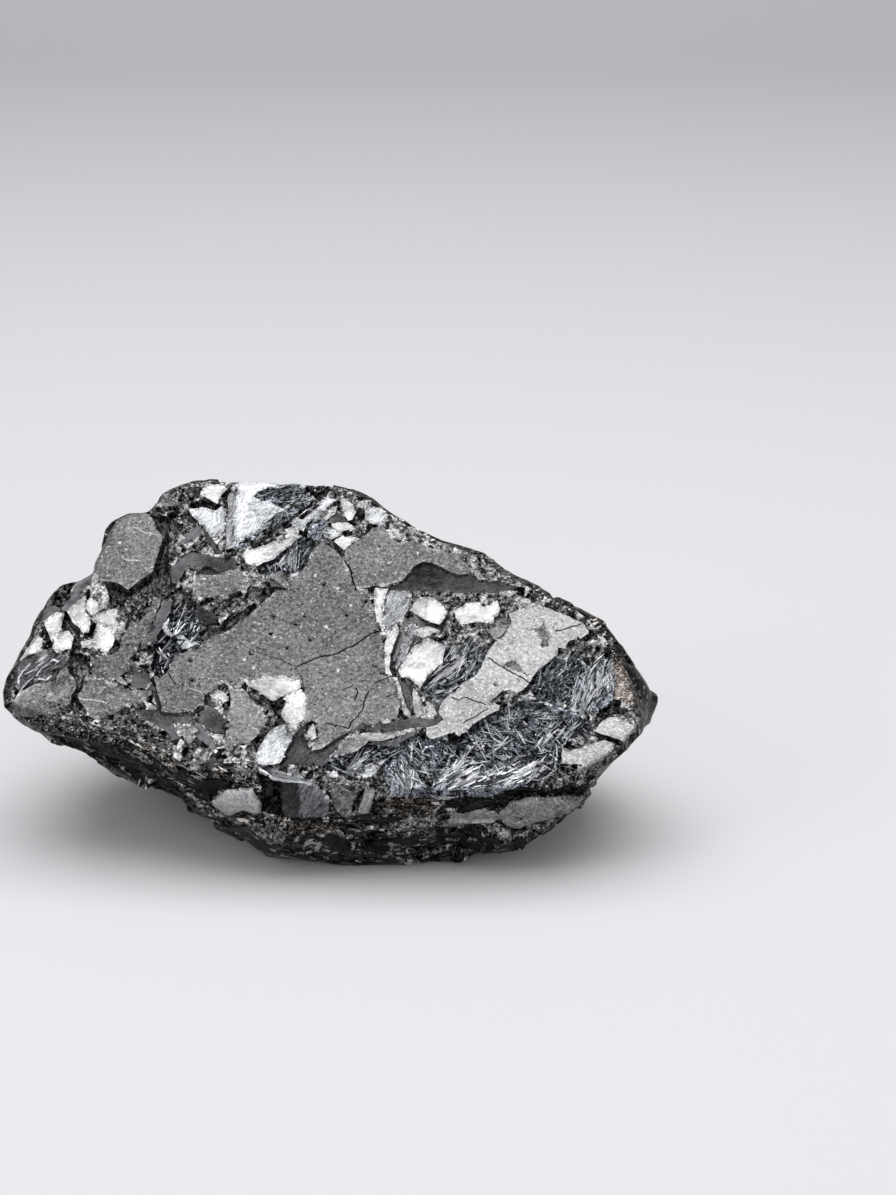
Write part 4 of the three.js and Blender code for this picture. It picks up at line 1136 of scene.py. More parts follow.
def face_mesh(rim):
    """Vertices in u and v and triangles of the face, its rim's vertices and its outlines."""
    points, edges, outlines = drawn_lines(rim)
    points = np.concatenate([points, free_points(points, rim)])
    vectors = [Vector(p) for p in points.tolist()]
    result = delaunay_2d_cdt(vectors, edges, [], 0, MERGE_DISTANCE, True)
    spots = np.array([v[:] for v in result[0]])
    triangles = np.array(result[2])
    middles = spots[triangles].mean(axis=1)
    triangles = triangles[distance_inside(middles, rim) > 0]
    place = {original: number for number, source in enumerate(result[3]) for original in source}
    return spots, triangles, [place[i] for i in range(len(rim))], outlines


def patch_numbers(spots, outlines):
    """For each point of a plane, the number of the topmost patch over it, or -1."""
    numbers = np.full(len(spots), -1)
    for number, outline in enumerate(outlines):
        near = near_box(spots, outline, 0)
        numbers[near[is_inside(spots[near], outline)]] = number
    return numbers


def along_grain(spots, degrees):
    """Points as distances along and across a direction given in degrees from u."""
    angle = np.radians(degrees)
    along = spots[..., 0] * np.cos(angle) + spots[..., 1] * np.sin(angle)
    across = spots[..., 1] * np.cos(angle) - spots[..., 0] * np.sin(angle)
    return np.stack([along, across], axis=-1)


def grain_angle(spots, patch):
    """The direction of a patch's grain, which turns from one bundle of fibres to the next."""
    finish = FINISHES[patch.finish]
    return patch.grain + finish.turn * shard_values(spots, finish.bundle, 7)


def ground_height(spots):
    """Height of the broken ground at points of u and v."""
    lined = along_grain(spots, GROUND.grain) / GROUND_STRETCH
    broken = shard_relief(lined, *GROUND_SHARDS, 0.55, 0.5)
    broken += shard_relief(lined, *GROUND_CHIPS, 0.2, 0.5)
    return GROUND.height + broken + 0.5 * noise(spots, 5.0, 33)


def patch_height(number, spots):
    """Height of one patch at points of u and v: its level, slight tilt and small relief."""
    patch = PATCHES[number]
    finish = FINISHES[patch.finish]
    outline = np.array(patch.outline, float)
    size = np.ptp(outline, axis=0).max()
    tilt = hashed(np.array([[number, 1.0], [number, 2.0]]), 5)
    steep = finish.tilt * min(0.12, 1.0 / size)
    height = finish.rise * patch.height + steep * ((spots - outline.mean(axis=0)) @ tilt)
    if patch.finish in ("matte", "satin"):
        return height + finish.relief * (noise(spots, 2.3, 41) + noise(spots, 0.9, 42))
    if patch.finish == "grain":
        return height + shard_relief(spots, *GRAIN_SHARDS, finish.relief, 0.55)
    lined = along_grain(spots, patch.grain) / (7.0, 1.0)
    streaks = noise(lined, 1.1, 45 + number) + 0.6 * noise(lined, 0.55, 46 + number)
    if patch.finish in ("fibre", "hole"):
        broken = shard_relief(spots, *FIBRE_SHARDS, finish.relief, 0.35)
        return height + finish.relief * streaks + broken
    return height + finish.relief * (streaks + 0.8 * facets(spots, 3.6, 48))


def crack_depths(spots):
    """How far each crack or vein moves the face."""
    depth = np.zeros(len(spots))
    for half, deep, _, route in CRACKS:
        line = drawn_line(route, CRACK_STEP)
        near = near_box(spots, line, 1)
        slope = (0, half + 0.1) if deep > 0 else (half + 0.06, half + 0.3)
        share = 1 - smooth_step(distance_to_line(spots[near], line), *slope)
        depth[near] += deep * share
    return depth


def mark_share(spots, marks):
    """How much of a small mark lies at each point, 1 in its middle and 0 outside it."""
    away = nearest_points(spots, marks)[1]
    ragged = away + 0.15 * shard_values(spots, 0.5, 76)
    return 1 - smooth_step(ragged, 0.2, 0.7)


def face_heights(spots, triangles, numbers):
    """Height of each vertex of the face: the highest of the patches that meet there."""
    height = np.full(len(spots), -np.inf)
    for number in np.unique(numbers):
        used = np.unique(triangles[numbers == number])
        own = patch_height(number, spots[used]) if number >= 0 else ground_height(spots[used])
        height[used] = np.maximum(height[used], own)
    return height - crack_depths(spots) - 0.5 * mark_share(spots, PITS)


def surface_height(tree, spots):
    """Height of the CAD stone's surface over the parting face's plane."""
    height = []
    for start in from_face(spots, np.full(len(spots), 15.0)):
        hit = tree.ray_cast(Vector(start), Vector(-FACE_N))[0]
        height.append((np.array(hit) - FACE_POINT) @ FACE_N if hit else -20.0)
    return np.array(height)


def blended_heights(tree, spots, height, rim):
    """Lets the face run into the CAD stone's worn edge near the rim."""
    inside = distance_inside(spots, rim)
    near = np.flatnonzero(inside < EDGE_BLEND)
    share = smooth_step(inside[near], 0, EDGE_BLEND)
    edge = surface_height(tree, spots[near])
    height[near] = edge * (1 - share) + height[near] * share + 0.3 * np.minimum(share, 1 - share)
    return height


def patch_tone(patch, seed, middles):
    """Brightness of a patch's triangles from their middles in a plane, with painted shading across
    the smooth patches.
    """
    if not patch.outline:
        lined = along_grain(middles, patch.grain) / GROUND_STRETCH
        tone = 0.14 + 0.80 * (0.5 + 0.5 * shard_values(lined, *GROUND_SHARDS)) ** 1.6
        return tone * (1 + 0.35 * shard_values(lined, *GROUND_CHIPS))
    tone = np.full(len(middles), patch.brightness)
    if patch.finish == "grain":
        return tone * (1 + 0.55 * shard_values(middles, *GRAIN_SHARDS))
    if patch.finish in ("fibre", "hole"):
        bundle = 0.35 * shard_values(middles, *FIBRE_SHARDS)
        return tone * (1 + bundle + 0.25 * noise(middles, 6.0, 49))
    if patch.finish == "matte":
        return tone + (0.045 * noise(middles, 13.0, 55) + 0.035 * noise(middles, 4.0, 56))
    # Painted shading: each smooth patch grows lighter towards one side and darker towards the
    # other, as a curved facet would under the light.
    reach = np.ptp(middles, axis=0).max() + 1
    offset = (middles - middles.mean(axis=0)) / reach
    facing = hashed(np.array([[seed, 3.0], [seed, 4.0]]), 6)
    tone += 0.30 * (0.3 + patch.brightness) * offset @ facing
    tone += 0.06 * noise(middles, 4.5, 52) + 0.04 * noise(middles, 1.6, 53)
    if patch.finish != "slate":
        tone -= 0.15 * patch.brightness * smooth_step(noise(middles, 2.7, 54), 0.35, 0.6)
    return tone


class Look:
    """What the material reads for each triangle: brightness (tone), roughness, grit, streaks and
    tint, as in FINISHES, and the places of its corners along and across the grain."""

    def __init__(self, count):
        self.tone = np.zeros(count)
        self.roughness = np.zeros(count)
        self.grit = np.zeros(count)
        self.streak = np.zeros(count)
        self.tint = np.zeros(count)
        self.grain = np.zeros((count, 3, 3))

    def paint(self, rows, patch, seed, corners):
        """Gives these triangles, with corners in a plane, the look of one patch."""
        finish = FINISHES[patch.finish]
        for name in ("roughness", "grit", "streak", "tint"):
            getattr(self, name)[rows] = getattr(finish, name)
        middles = corners.mean(axis=1)
        self.tone[rows] = patch_tone(patch, seed, middles)
        bent = corners + 0.5 * noise(middles, 3.0, 8)[:, None, None]
        self.grain[rows, :, :2] = along_grain(bent, grain_angle(middles, patch)[:, None])
        self.grain[rows, :, 2] = seed * 3.7


def unit_normals(corners):
    """The direction that each triangle faces."""
    normals = np.cross(corners[:, 1] - corners[:, 0], corners[:, 2] - corners[:, 0])
    return normals / np.maximum(np.linalg.norm(normals, axis=1, keepdims=True), 1e-9)


def border_gap(spots, triangles, numbers):
    """Distance from each triangle of the face to the nearest edge between two patches."""
    edges = np.sort(triangles[:, [0, 1, 1, 2, 2, 0]].reshape(-1, 2), axis=1)
    keys = edges[:, 0] * len(spots) + edges[:, 1]
    order = np.argsort(keys, kind="stable")
    same = np.flatnonzero(keys[order][1:] == keys[order][:-1])
    owner = np.repeat(numbers, 3)[order]
    split = same[owner[same] != owner[same + 1]]
    borders = spots[edges[order[split]]].mean(axis=1)
    return nearest_points(spots[triangles].mean(axis=1), borders)[1]


def finish_of(numbers):
    """The finish of each triangle of the face, from the number of its patch."""
    return np.array([patch.finish for patch in [*PATCHES, GROUND]])[numbers]


def break_edges(look, middles, gap, smooth):
    """Paints a highlight in the middle of the light patches and shade along their edges, as on a
    bulging facet, and crusts and chips the edges of all patches.
    """
    light_part = smooth_step(look.tone, 0.55, 0.7) * (look.roughness < 0.43)
    # Painted highlight in the middle of each light patch and painted shade along its edges.
    look.tone += light_part * (0.14 * smooth_step(gap, 0.1, 1.2) - 0.10)
    look.grit += 0.4 * light_part * (1 - smooth_step(gap, 0.2, 1.2))
    edge = np.exp(-gap / 0.5) * np.minimum(1, 0.4 + look.tone) * np.where(smooth, 0.25, 1.0)
    chance = noise(middles, 2.4, 57) + 0.5 * shard_values(middles, 0.8, 58)
    crusted = edge * smooth_step(chance, 0.15, 0.6)
    chipped = edge * smooth_step(-chance, 0.2, 0.7)
    look.tone += (0.88 - look.tone) * crusted - 0.35 * look.tone * chipped
    look.grit = np.maximum(look.grit, 0.9 * crusted)


def shade_and_sand_walls(look, middles, corners):
    """Paints shade on the steep steps between patches and makes them sandy."""
    upright = unit_normals(corners)[:, 2]
    drop = np.ptp(corners[:, :, 2], axis=1)
    wall = smooth_step(-upright, -0.66, -0.42) * smooth_step(drop, 0.3, 0.8)
    wall_shade_tone = 0.38 + 0.22 * shard_values(middles, 0.8, 59)
    # Painted shade: the walls take a darker tone.
    look.tone = look.tone * (1 - wall) + wall * np.minimum(look.tone, wall_shade_tone)
    look.grit = np.maximum(look.grit, 0.8 * wall)


def draw_marks(look, middles):
    """Gives the cracks, veins, pits and specks their brightness."""
    for half, _, brightness, route in CRACKS:
        line = drawn_line(route, CRACK_STEP)
        near = near_box(middles, line, 1)
        on_line = near[distance_to_line(middles[near], line) < half + 0.02]
        look.tone[on_line] = brightness
    for marks, brightness in ((PITS, 0.12), (SPECKS, 0.90)):
        look.tone[mark_share(middles, marks) > 0.6] = brightness


def face_look(spots, triangles, numbers, height):
    """The look of every triangle of the parting face."""
    look = Look(len(triangles))
    corners = spots[triangles]
    middles = corners.mean(axis=1)
    for number in np.unique(numbers):
        rows = np.flatnonzero(numbers == number)
        look.paint(rows, PATCHES[number] if number >= 0 else GROUND, number, corners[rows])
    gap = border_gap(spots, triangles, numbers)
    break_edges(look, middles, gap, finish_of(numbers) == "slate")
    shade_and_sand_walls(look, middles, np.dstack([corners, height[triangles][:, :, None]]))
    draw_marks(look, middles)
    return look


# Needles that lie loose on the fibrous patches.

def scattered_needles(spots, triangles, numbers, rng):
    """Start, direction, length, brightness and half width of needles strewn over the face."""
    middles = spots[triangles].mean(axis=1)
    rows = []
    for number, patch in enumerate(PATCHES):
        own = middles[numbers == number]
        count = round(NEEDLES_PER_TRIANGLE * len(own))
        if patch.finish != "fibre" or not count:
            continue
        brightness = patch.brightness
        start = own[rng.integers(len(own), size=count)]
        angle = grain_angle(start, patch) + rng.normal(0, 24, count)
        kind = rng.random(count)
        length = rng.uniform(1.6, 4.2, count) + 3.0 * (kind > 0.8)
        tone = np.where(kind < 0.35, 0.35 * brightness, brightness + 0.12)
        tone = np.where(kind > 0.75, brightness + rng.uniform(0.25, 0.55, count), tone)
        half_width = rng.uniform(0.11, 0.22, count)
        rows.append(np.column_stack([start, angle, length, tone, half_width]))
    return np.concatenate(rows)


def fanned_needles(rng):
    """The same values for the needles of the fans."""
    rows = []
    for u, v, first, last, length, count, brightness, half_width in FANS:
        angle = rng.uniform(first, last, count)
        way = np.column_stack([np.cos(np.radians(angle)), np.sin(np.radians(angle))])
        start = (u, v) + rng.normal(0, 0.8, (count, 2))
        start += way * (length * rng.uniform(0, 0.45, count))[:, None]
        length = length * rng.uniform(0.35, 0.8, count)
        tone = brightness * rng.uniform(0.7, 1.12, count)
        tone = np.where(rng.random(count) < 0.25, 0.25 * brightness, tone)
        half_width = half_width * rng.uniform(0.4, 0.8, count)
        rows.append(np.column_stack([start, angle, length, tone, half_width]))
    return np.concatenate(rows)


def needle_triangles():
    """Triangles of a needle: right, left and keel vertices at three places, then the tip."""
    faces = [(0, 1, 2)]
    for right, left, keel in ((0, 1, 2), (3, 4, 5)):
        faces += [(right, keel, keel + 3), (right, keel + 3, right + 3)]
        faces += [(left, left + 3, keel + 3), (left, keel + 3, keel)]
        faces += [(right, right + 3, left + 3), (right, left + 3, left)]
    return np.array(faces + [(6, 8, 9), (7, 9, 8), (6, 9, 7)])


def needle_lines(needles, rng):
    """Three places and the tip of each needle, which bends a little, and the way on from each."""
    share = np.array([0.0, 0.3, 0.68, 1.0])
    bend = rng.uniform(-16, 16, len(needles))
    turned = np.radians(needles[:, 2:3] + bend[:, None] * share / 2)
    ahead = np.dstack([np.cos(turned), np.sin(turned)])
    return needles[:, None, :2] + (needles[:, 3:4] * share)[..., None] * ahead, ahead


def needle_bodies(needles, line, ahead, ground, rng):
    """The vertices of each needle, as needle_triangles numbers them: u, v and height."""
    half_width = needles[:, 5:6] * (0.45, 1.0, 0.75)
    side = np.dstack([-ahead[:, :3, 1], ahead[:, :3, 0]]) * half_width[..., None]
    rise = ground[:, :3] + 0.12 + 0.10 * rng.random((len(needles), 1))
    tilt = rng.normal(0, 0.22, (len(needles), 1)) * half_width
    left = np.dstack([line[:, :3] + side, rise + tilt])
    right = np.dstack([line[:, :3] - side, rise - tilt])
    keel = np.dstack([line[:, :3], ground[:, :3] - 0.25])
    tip = np.dstack([line[:, 3:], ground[:, 3:] + 0.1])
    body = np.stack([right, left, keel], axis=2).reshape(-1, 9, 3)
    return np.concatenate([body, tip], axis=1)


def look_of_needles(needles, points, shape):
    """The look of the needles' triangles, with the grain along each needle."""
    look = Look(len(needles) * len(shape))
    tone = np.clip(needles[:, 4], 0.06, 1.0)
    look.tone[:] = np.repeat(tone, len(shape))
    look.roughness[:] = 0.38
    look.grit[:] = 0.16
    look.streak[:] = 0.10
    look.tint[:] = np.repeat(np.where(tone > 0.6, 0.10, 0.40), len(shape))
    corners = points[:, shape, :2] - needles[:, None, None, :2]
    look.grain[:, :, :2] = along_grain(corners, needles[:, 2][:, None, None]).reshape(-1, 3, 2)
    look.grain[:, :, 2] = np.repeat(np.arange(len(needles)) * 1.7, len(shape))[:, None]
    return look


def build_needles(spots, height, triangles, numbers):
    """Vertices, triangles and look of all the needles, which lie half sunk in the face."""
    rng = np.random.default_rng(NEEDLE_SEED)
    needles = scattered_needles(spots, triangles, numbers, rng)
    needles = np.concatenate([needles, fanned_needles(rng)])
    line, ahead = needle_lines(needles, rng)
    nearest, gap = nearest_points(line.reshape(-1, 2), spots)
    end_triangle = nearest_points(line[:, 2], spots[triangles].mean(axis=1))[0]
    kept = np.isin(finish_of(numbers[end_triangle]), ("fibre", "hole", "grain", "blade"))
    kept &= gap.reshape(-1, 4).max(axis=1) < 0.8
    ground = height[nearest].reshape(-1, 4)[kept]
    needles = needles[kept]
    points = needle_bodies(needles, line[kept], ahead[kept], ground, rng)
    shape = needle_triangles()
    faces = np.arange(len(needles))[:, None, None] * points.shape[1] + shape
    look = look_of_needles(needles, points, shape)
    points = points.reshape(-1, 3)
    return from_face(points[:, :2], points[:, 2]), faces.reshape(-1, 3), look


# The hackly rock below and behind the parting face.

def bent_points(points):
    """Points moved by slow noise, so that the shards' edges aren't straight."""
    return points + 1.8 * np.stack([noise(points, 9.0, 60 + k) for k in range(3)], axis=1)


def layer_height(points):
    """Height over the layers of the rock, which are bowed like the stone's lower edge."""
    return points[:, 2] + 0.25 * points[:, 1] - 0.0055 * (points[:, 0] - 10) ** 2


def ledges(points):
    """Place within the ledge at each point, from 0 at its back to 1 at its lip."""
    ledge = layer_height(bent_points(points)) / 4.2 + 0.8 * noise(points, 11.0, 65)
    return ledge - np.floor(ledge)


def rock_relief(points):
    """How far the rock stands out of the CAD stone's surface."""
    bent = bent_points(points)
    hackly = shard_relief(bent, *SMALL_SHARDS, 0.35, 0.24)
    hackly += 0.8 * facets(bent, 8.0, 63) + 0.25 * facets(bent, 2.2, 64)
    hackly += 1.3 * (ledges(points) - 0.5) * smooth_step(noise(points, 17.0, 66), -0.5, 0.3)
    flat = shard_values(bent, *LARGE_SHARDS) > PLATE_FROM
    finer = np.where(flat, 0.1 * hackly + 0.5, hackly)
    return shard_relief(bent, *LARGE_SHARDS, 0.9, 0.24) + finer


def front_chart(points, facing):
    """Numbers of the points or triangles that face the front, and their x and z."""
    rows = np.flatnonzero(facing[:, 1] < -0.12)
    return rows, points[rows][:, [0, 2]]


def front_outlines():
    """The outlines of the patches below the parting face, in x and z."""
    step = FRONT_OUTLINE_STEP
    return [drawn_line(patch.outline, step, closed=True) for patch in FRONT_PATCHES]


def even_values(values, bm):
    """Values of the vertices, half way to the mean of their neighbours, so nothing spikes."""
    ends = np.array([[v.index for v in edge.verts] for edge in bm.edges])
    total = np.zeros(len(values))
    count = np.zeros(len(values))
    for here, there in ((0, 1), (1, 0)):
        np.add.at(total, ends[:, here], values[ends[:, there]])
        np.add.at(count, ends[:, here], 1)
    return 0.5 * values + 0.5 * total / count


def pull_to_outlines(chart, outlines):
    """Moves the vertices of the front that are close to an outline onto it."""
    for outline in outlines:
        near = near_box(chart, outline, 1)
        way = way_to_line(chart[near], outline, closed=True)
        pulled = np.linalg.norm(way, axis=1) < 0.4 * FRONT_STEP
        chart[near[pulled]] += way[pulled]


def gap_to_rim(points, rim):
    """Distance to the rim from the points that are near the face; the others count as far."""
    spots = to_face(points)
    gap = np.full(len(points), FAR_FROM_RIM)
    near = np.flatnonzero(spots[:, 2] > -NEAR_FACE)
    gap[near] = np.abs(distance_inside(spots[near, :2], rim))
    return gap


def dents(points):
    """How the dents and swellings move points of the rock."""
    moved = np.zeros(points.shape)
    for middle, move, reach in DENTS:
        share = np.exp(-((points - middle) ** 2).sum(axis=1) / reach ** 2)
        moved += share[:, None] * move
    return moved


def front_levels(chart, outlines):
    """Height of the patches at points of the front, and the share of the relief left there."""
    numbers = patch_numbers(chart, outlines)
    level = np.zeros(len(chart))
    rough = np.ones(len(chart))
    for number in np.unique(numbers[numbers >= 0]):
        inside = numbers == number
        patch = FRONT_PATCHES[number]
        share = smooth_step(distance_inside(chart[inside], outlines[number]), -0.6, 1.2)
        level[inside] = share * patch.height
        rough[inside] = 1 + share * (FINISHES[patch.finish].kept - 1)
    return level, rough


def cut_streaks(relief, rows, chart):
    """Cuts the streaks into the relief of the front."""
    for half, deep, _, route in FRONT_STREAKS:
        line = drawn_line(route, STREAK_STEP)
        close = near_box(chart, line, 1.5)
        share = 1 - smooth_step(distance_to_line(chart[close], line), 0, half + 0.5)
        relief[rows[close]] -= deep * share


def shape_rock(bm, rim):
    """Breaks up the rock's surface, which stays put along the rim and at its foot."""
    bm.normal_update()
    bm.verts.index_update()
    points = np.array([v.co[:] for v in bm.verts])
    normals = np.array([v.normal[:] for v in bm.verts])
    gap = gap_to_rim(points, rim)
    relief = even_values(rock_relief(points), bm)
    relief *= 0.3 + 0.7 * smooth_step(gap, 2, FAR_FROM_RIM)
    dent = dents(points)

    rows, chart = front_chart(points, normals)
    outlines = front_outlines()
    pull_to_outlines(chart, outlines)
    points[rows[:, None], (0, 2)] = chart
    level = np.zeros(len(points))
    rough = np.ones(len(points))
    level[rows], rough[rows] = front_levels(chart, outlines)
    relief = relief * rough + even_values(even_values(level, bm), bm)
    cut_streaks(relief, rows, chart)

    relief *= smooth_step(gap, 0, 2.5) * smooth_step(points[:, 2], 0.0, 4.0)
    moved = points + normals * relief[:, None] + dent * smooth_step(gap, 0, 1.2)[:, None]
    moved[:, 2] = np.maximum(moved[:, 2], 0.0)
    moved[points[:, 2] < 0.05, 2] = 0.0
    for vertex, place in zip(bm.verts, moved):
        vertex.co = place


def paint_front(look, corners, normals):
    """Gives the front its patches and its streaks."""
    rows, chart = front_chart(corners.mean(axis=1), normals)
    for number, outline in enumerate(front_outlines()):
        near = near_box(chart, outline, 0.4)
        share = smooth_step(distance_inside(chart[near], outline), -0.4, 0.4)
        used = rows[near[share > 0]]
        share = share[share > 0]
        below = look.tone[used]
        look.paint(used, FRONT_PATCHES[number], number, corners[used][:, :, [0, 2]])
        look.tone[used] = below + share * (look.tone[used] - below)
    for half, _, brightness, route in FRONT_STREAKS:
        line = drawn_line(route, STREAK_STEP)
        close = near_box(chart, line, 1.5)
        gap = distance_to_line(chart[close], line) + 0.3 * shard_values(chart[close], 0.9, 73)
        on_line = rows[close[gap < half]]
        look.tone[on_line] = brightness
        look.grit[on_line] = 1.0


def painted_glints(points):
    """Which points get painted glints: the thin flakes between the layers of the rock, painted
    bright as if they caught the light.
    """
    layered = points / (1.6, 1.6, 1.0)
    layered[:, 2] = layer_height(points) / 0.45
    return shard_values(layered, 1.1, 74) > 0.86


def rock_look(points, triangles, rim):
    """The look of every triangle of the rock."""
    look = Look(len(triangles))
    corners = points[triangles]
    middles = corners.mean(axis=1)
    normals = unit_normals(corners)

    # What lies where: shards and plates, the front, the lips of its ledges that get painted
    # highlights, and the crust by the rim.
    bent = bent_points(middles)
    kind = shard_values(bent, *LARGE_SHARDS)
    small = shard_values(bent, *SMALL_SHARDS)
    tiny = shard_values(middles, 1.7, 70)
    flat = kind > PLATE_FROM
    in_front = smooth_step(-normals[:, 1], 0.0, 0.4)
    lip = smooth_step(ledges(middles), 0.72, 0.92) * smooth_step(small + tiny, -0.3, 0.5)
    crust = (1 - smooth_step(gap_to_rim(middles, rim), 2.0, 5.0)) * (1 - in_front)

    # Brightness: hackly ground, flat plates, the front with its painted shade, and the crust.
    tone = 0.33 + 0.10 * kind + 0.15 * small + 0.06 * tiny
    # Painted glints: a few small facets and shards are lit brighter.
    tone += 0.26 * (tiny > 0.93) + 0.16 * (small > 0.88)
    # Flat plates are lighter, partly their own tone and partly painted sheen.
    plate_tone = 0.40 + 0.22 * kind + 0.06 * noise(bent, 7.0, 77) + 0.05 * small
    tone = np.where(flat, plate_tone, tone)
    # Painted shade darkens the rock that faces the front.
    tone *= 1 - FRONT_SHADE * in_front
    # Painted highlights on the lips of the front's ledges, and painted glints on its flakes.
    tone += (0.30 * lip + 0.65 * painted_glints(middles)) * in_front
    tone += (0.44 + 0.16 * tiny - tone) * crust
    look.tone = np.clip(tone, 0.04, 0.9)

    look.roughness[:] = 0.44
    look.grit = np.maximum(np.where(flat, 0.34, 0.42), crust)
    look.grit += (0.16 + 0.5 * lip - look.grit) * in_front
    look.streak = np.where(flat, 0.14, 0.25 + 0.35 * smooth_step(-kind, -0.3, 0.4)) * (1 - crust)
    look.streak += 0.25 * in_front
    look.tint = np.where(noise(middles, 14.0, 72) < -0.3, -0.35, 0.10)
    look.tint += (-0.30 - look.tint) * in_front
    look.grain[:] = corners
    look.grain[:, :, 2] = layer_height(corners.reshape(-1, 3)).reshape(-1, 3)
    look.grain[:] = look.grain[:, :, [0, 2, 1]]
    paint_front(look, corners, normals)
    return look


def write_attributes(mesh, looks):
    """Stores the looks of all triangles on the mesh, for its material to read."""
    for name in ("tone", "roughness", "grit", "streak", "tint"):
        values = np.concatenate([getattr(look, name) for look in looks])
        attribute = mesh.attributes.new(name, "FLOAT", "FACE")
        attribute.data.foreach_set("value", values.astype(np.float32))
    grain = np.concatenate([look.grain for look in looks]).reshape(-1, 3)
    attribute = mesh.attributes.new("grain", "FLOAT_VECTOR", "CORNER")
    attribute.data.foreach_set("vector", grain.astype(np.float32).ravel())


def build_rock(node):
    """Vertices and triangles of the rock round the face, its rim in order, and the CAD stone."""
    bm, tree = stone_without_face(node)
    ordered = rim_loop(bm)
    even_rim(ordered, tree)
    rim = to_face(np.array([v.co[:] for v in ordered]))[:, :2]
    shape_rock(bm, rim)
    bm.verts.index_update()
    points = np.array([v.co[:] for v in bm.verts])
    triangles = np.array([[v.index for v in f.verts] for f in bm.faces])
    rim_index = np.array([v.index for v in ordered])
    bm.free()
    return points, triangles, rim, rim_index, tree


def stone_mesh(points, triangles, looks):
    """One mesh in metres, without the vertices that no triangle uses."""
    used, compact = np.unique(triangles, return_inverse=True)
    mesh = bpy.data.meshes.new("stone_surface")
    mesh.from_pydata((points[used] * MM).tolist(), [], compact.reshape(-1, 3).tolist())
    write_attributes(mesh, looks)
    mesh.shade_smooth()
    mesh.set_sharp_from_angle(angle=math.radians(24))
    mesh.validate()
    return mesh


def build_stone(node):
    """The visible stone: the broken-up parting face joined to the hackly rock."""
    rock_points, rock_triangles, rim, rim_index, tree = build_rock(node)
    spots, triangles, rim_places, outlines = face_mesh(rim)
    numbers = patch_numbers(spots[triangles].mean(axis=1), outlines)
    height = face_heights(spots, triangles, numbers)
    height = blended_heights(tree, spots, height, rim)
    needles, needle_faces, needle_look = build_needles(spots, height, triangles, numbers)

    shared = np.arange(len(spots)) + len(rock_points)
    shared[rim_places] = rim_index
    needle_faces = needle_faces + len(rock_points) + len(spots)
    mesh = stone_mesh(
        np.concatenate([rock_points, from_face(spots, height), needles]),
        np.concatenate([rock_triangles, shared[triangles], needle_faces]),
        [
            rock_look(rock_points, rock_triangles, rim),
            face_look(spots, triangles, numbers, height),
            needle_look,
        ],
    )
    stone = bpy.data.objects.new("stone_surface", mesh)
    bpy.context.scene.collection.objects.link(stone)
    return stone


# Material.

class Nodes:
    """Short names for building a node tree."""

    def __init__(self, tree):
        self.tree = tree

    def add(self, kind, inputs=(), **settings):
        """A node with these settings, its inputs given as values or as other nodes' outputs."""
        node = self.tree.nodes.new(kind)
        for name, value in settings.items():
            setattr(node, name, value)
        for socket, value in dict(inputs).items():
            if isinstance(value, bpy.types.NodeSocket):
                self.tree.links.new(value, node.inputs[socket])
            else:
                node.inputs[socket].default_value = value
        return node

    def attribute(self, name, output="Fac"):
        return self.add("ShaderNodeAttribute", attribute_name=name).outputs[output]

    def math(self, operation, a, b=0.0, c=0.0):
        return self.add("ShaderNodeMath", {0: a, 1: b, 2: c}, operation=operation).outputs[0]

    def ramp(self, value, low, high, start, end):
        """A value moved from the range low to high into the range start to end."""
        node = self.add("ShaderNodeMapRange", {0: value, 1: low, 2: high, 3: start, 4: end})
        return node.outputs[0]

    def noise(self, vector, scale, detail=2.0):
        inputs = {"Vector": vector, "Scale": scale, "Detail": detail}
        return self.add("ShaderNodeTexNoise", inputs).outputs["Fac"]

    def strands(self, vector, degrees):
        """Thin strands along a direction, from dark between them to bright on them."""
        turned = self.add("ShaderNodeMapping", {
            "Vector": vector, "Rotation": (0, 0, math.radians(degrees)),
        }).outputs[0]
        stretched = self.add("ShaderNodeMapping", {
            "Vector": turned, "Scale": (0.13, 1, 1),
        }).outputs[0]
        coarse = self.noise(stretched, 1.5, 1.0)
        fine = self.noise(stretched, 3.6, 1.0)
        mixed = self.math("MULTIPLY_ADD", fine, 0.6, self.math("MULTIPLY", coarse, 0.4))
        return self.ramp(mixed, 0.47, 0.64, -0.20, 0.70)


def sand(n, place):
    """Sand with bright specks and dark pits, and the broader mottle that is part of it."""
    cells = n.add("ShaderNodeTexVoronoi", {"Vector": place, "Scale": SAND_SCALE}).outputs["Color"]
    cells = n.add("ShaderNodeSeparateColor", {0: cells}).outputs
    mottle = n.noise(place, MOTTLE_SCALE, 3.0)
    sandy = n.math("MULTIPLY_ADD", n.math("SUBTRACT", cells[0], 0.5), 0.50,
                   n.math("MULTIPLY", n.math("SUBTRACT", mottle, 0.5), 1.3))
    specks = n.math("MULTIPLY", n.math("GREATER_THAN", cells[1], 0.965), 0.55)
    pits = n.math("MULTIPLY", n.math("LESS_THAN", cells[1], 0.025), -0.45)
    return n.math("ADD", sandy, n.math("ADD", specks, pits)), mottle


def tinted(n, albedo, tint):
    """A grey turned towards blue where the tint is above 0, and towards rust below it."""
    blue = n.math("MAXIMUM", tint, 0.0)
    rust = n.math("MAXIMUM", n.math("MULTIPLY", tint, -1.0), 0.0)
    red = n.math("MULTIPLY_ADD", rust, 0.22, n.math("MULTIPLY_ADD", blue, -0.20, 1.0))
    green = n.math("MULTIPLY_ADD", blue, -0.06, 1.0)
    last = n.math("MULTIPLY_ADD", rust, -0.16, n.math("MULTIPLY_ADD", blue, 0.24, 1.0))
    return n.add("ShaderNodeCombineColor", {
        0: n.math("MULTIPLY", albedo, red),
        1: n.math("MULTIPLY", albedo, green),
        2: n.math("MULTIPLY", albedo, last),
    }).outputs[0]


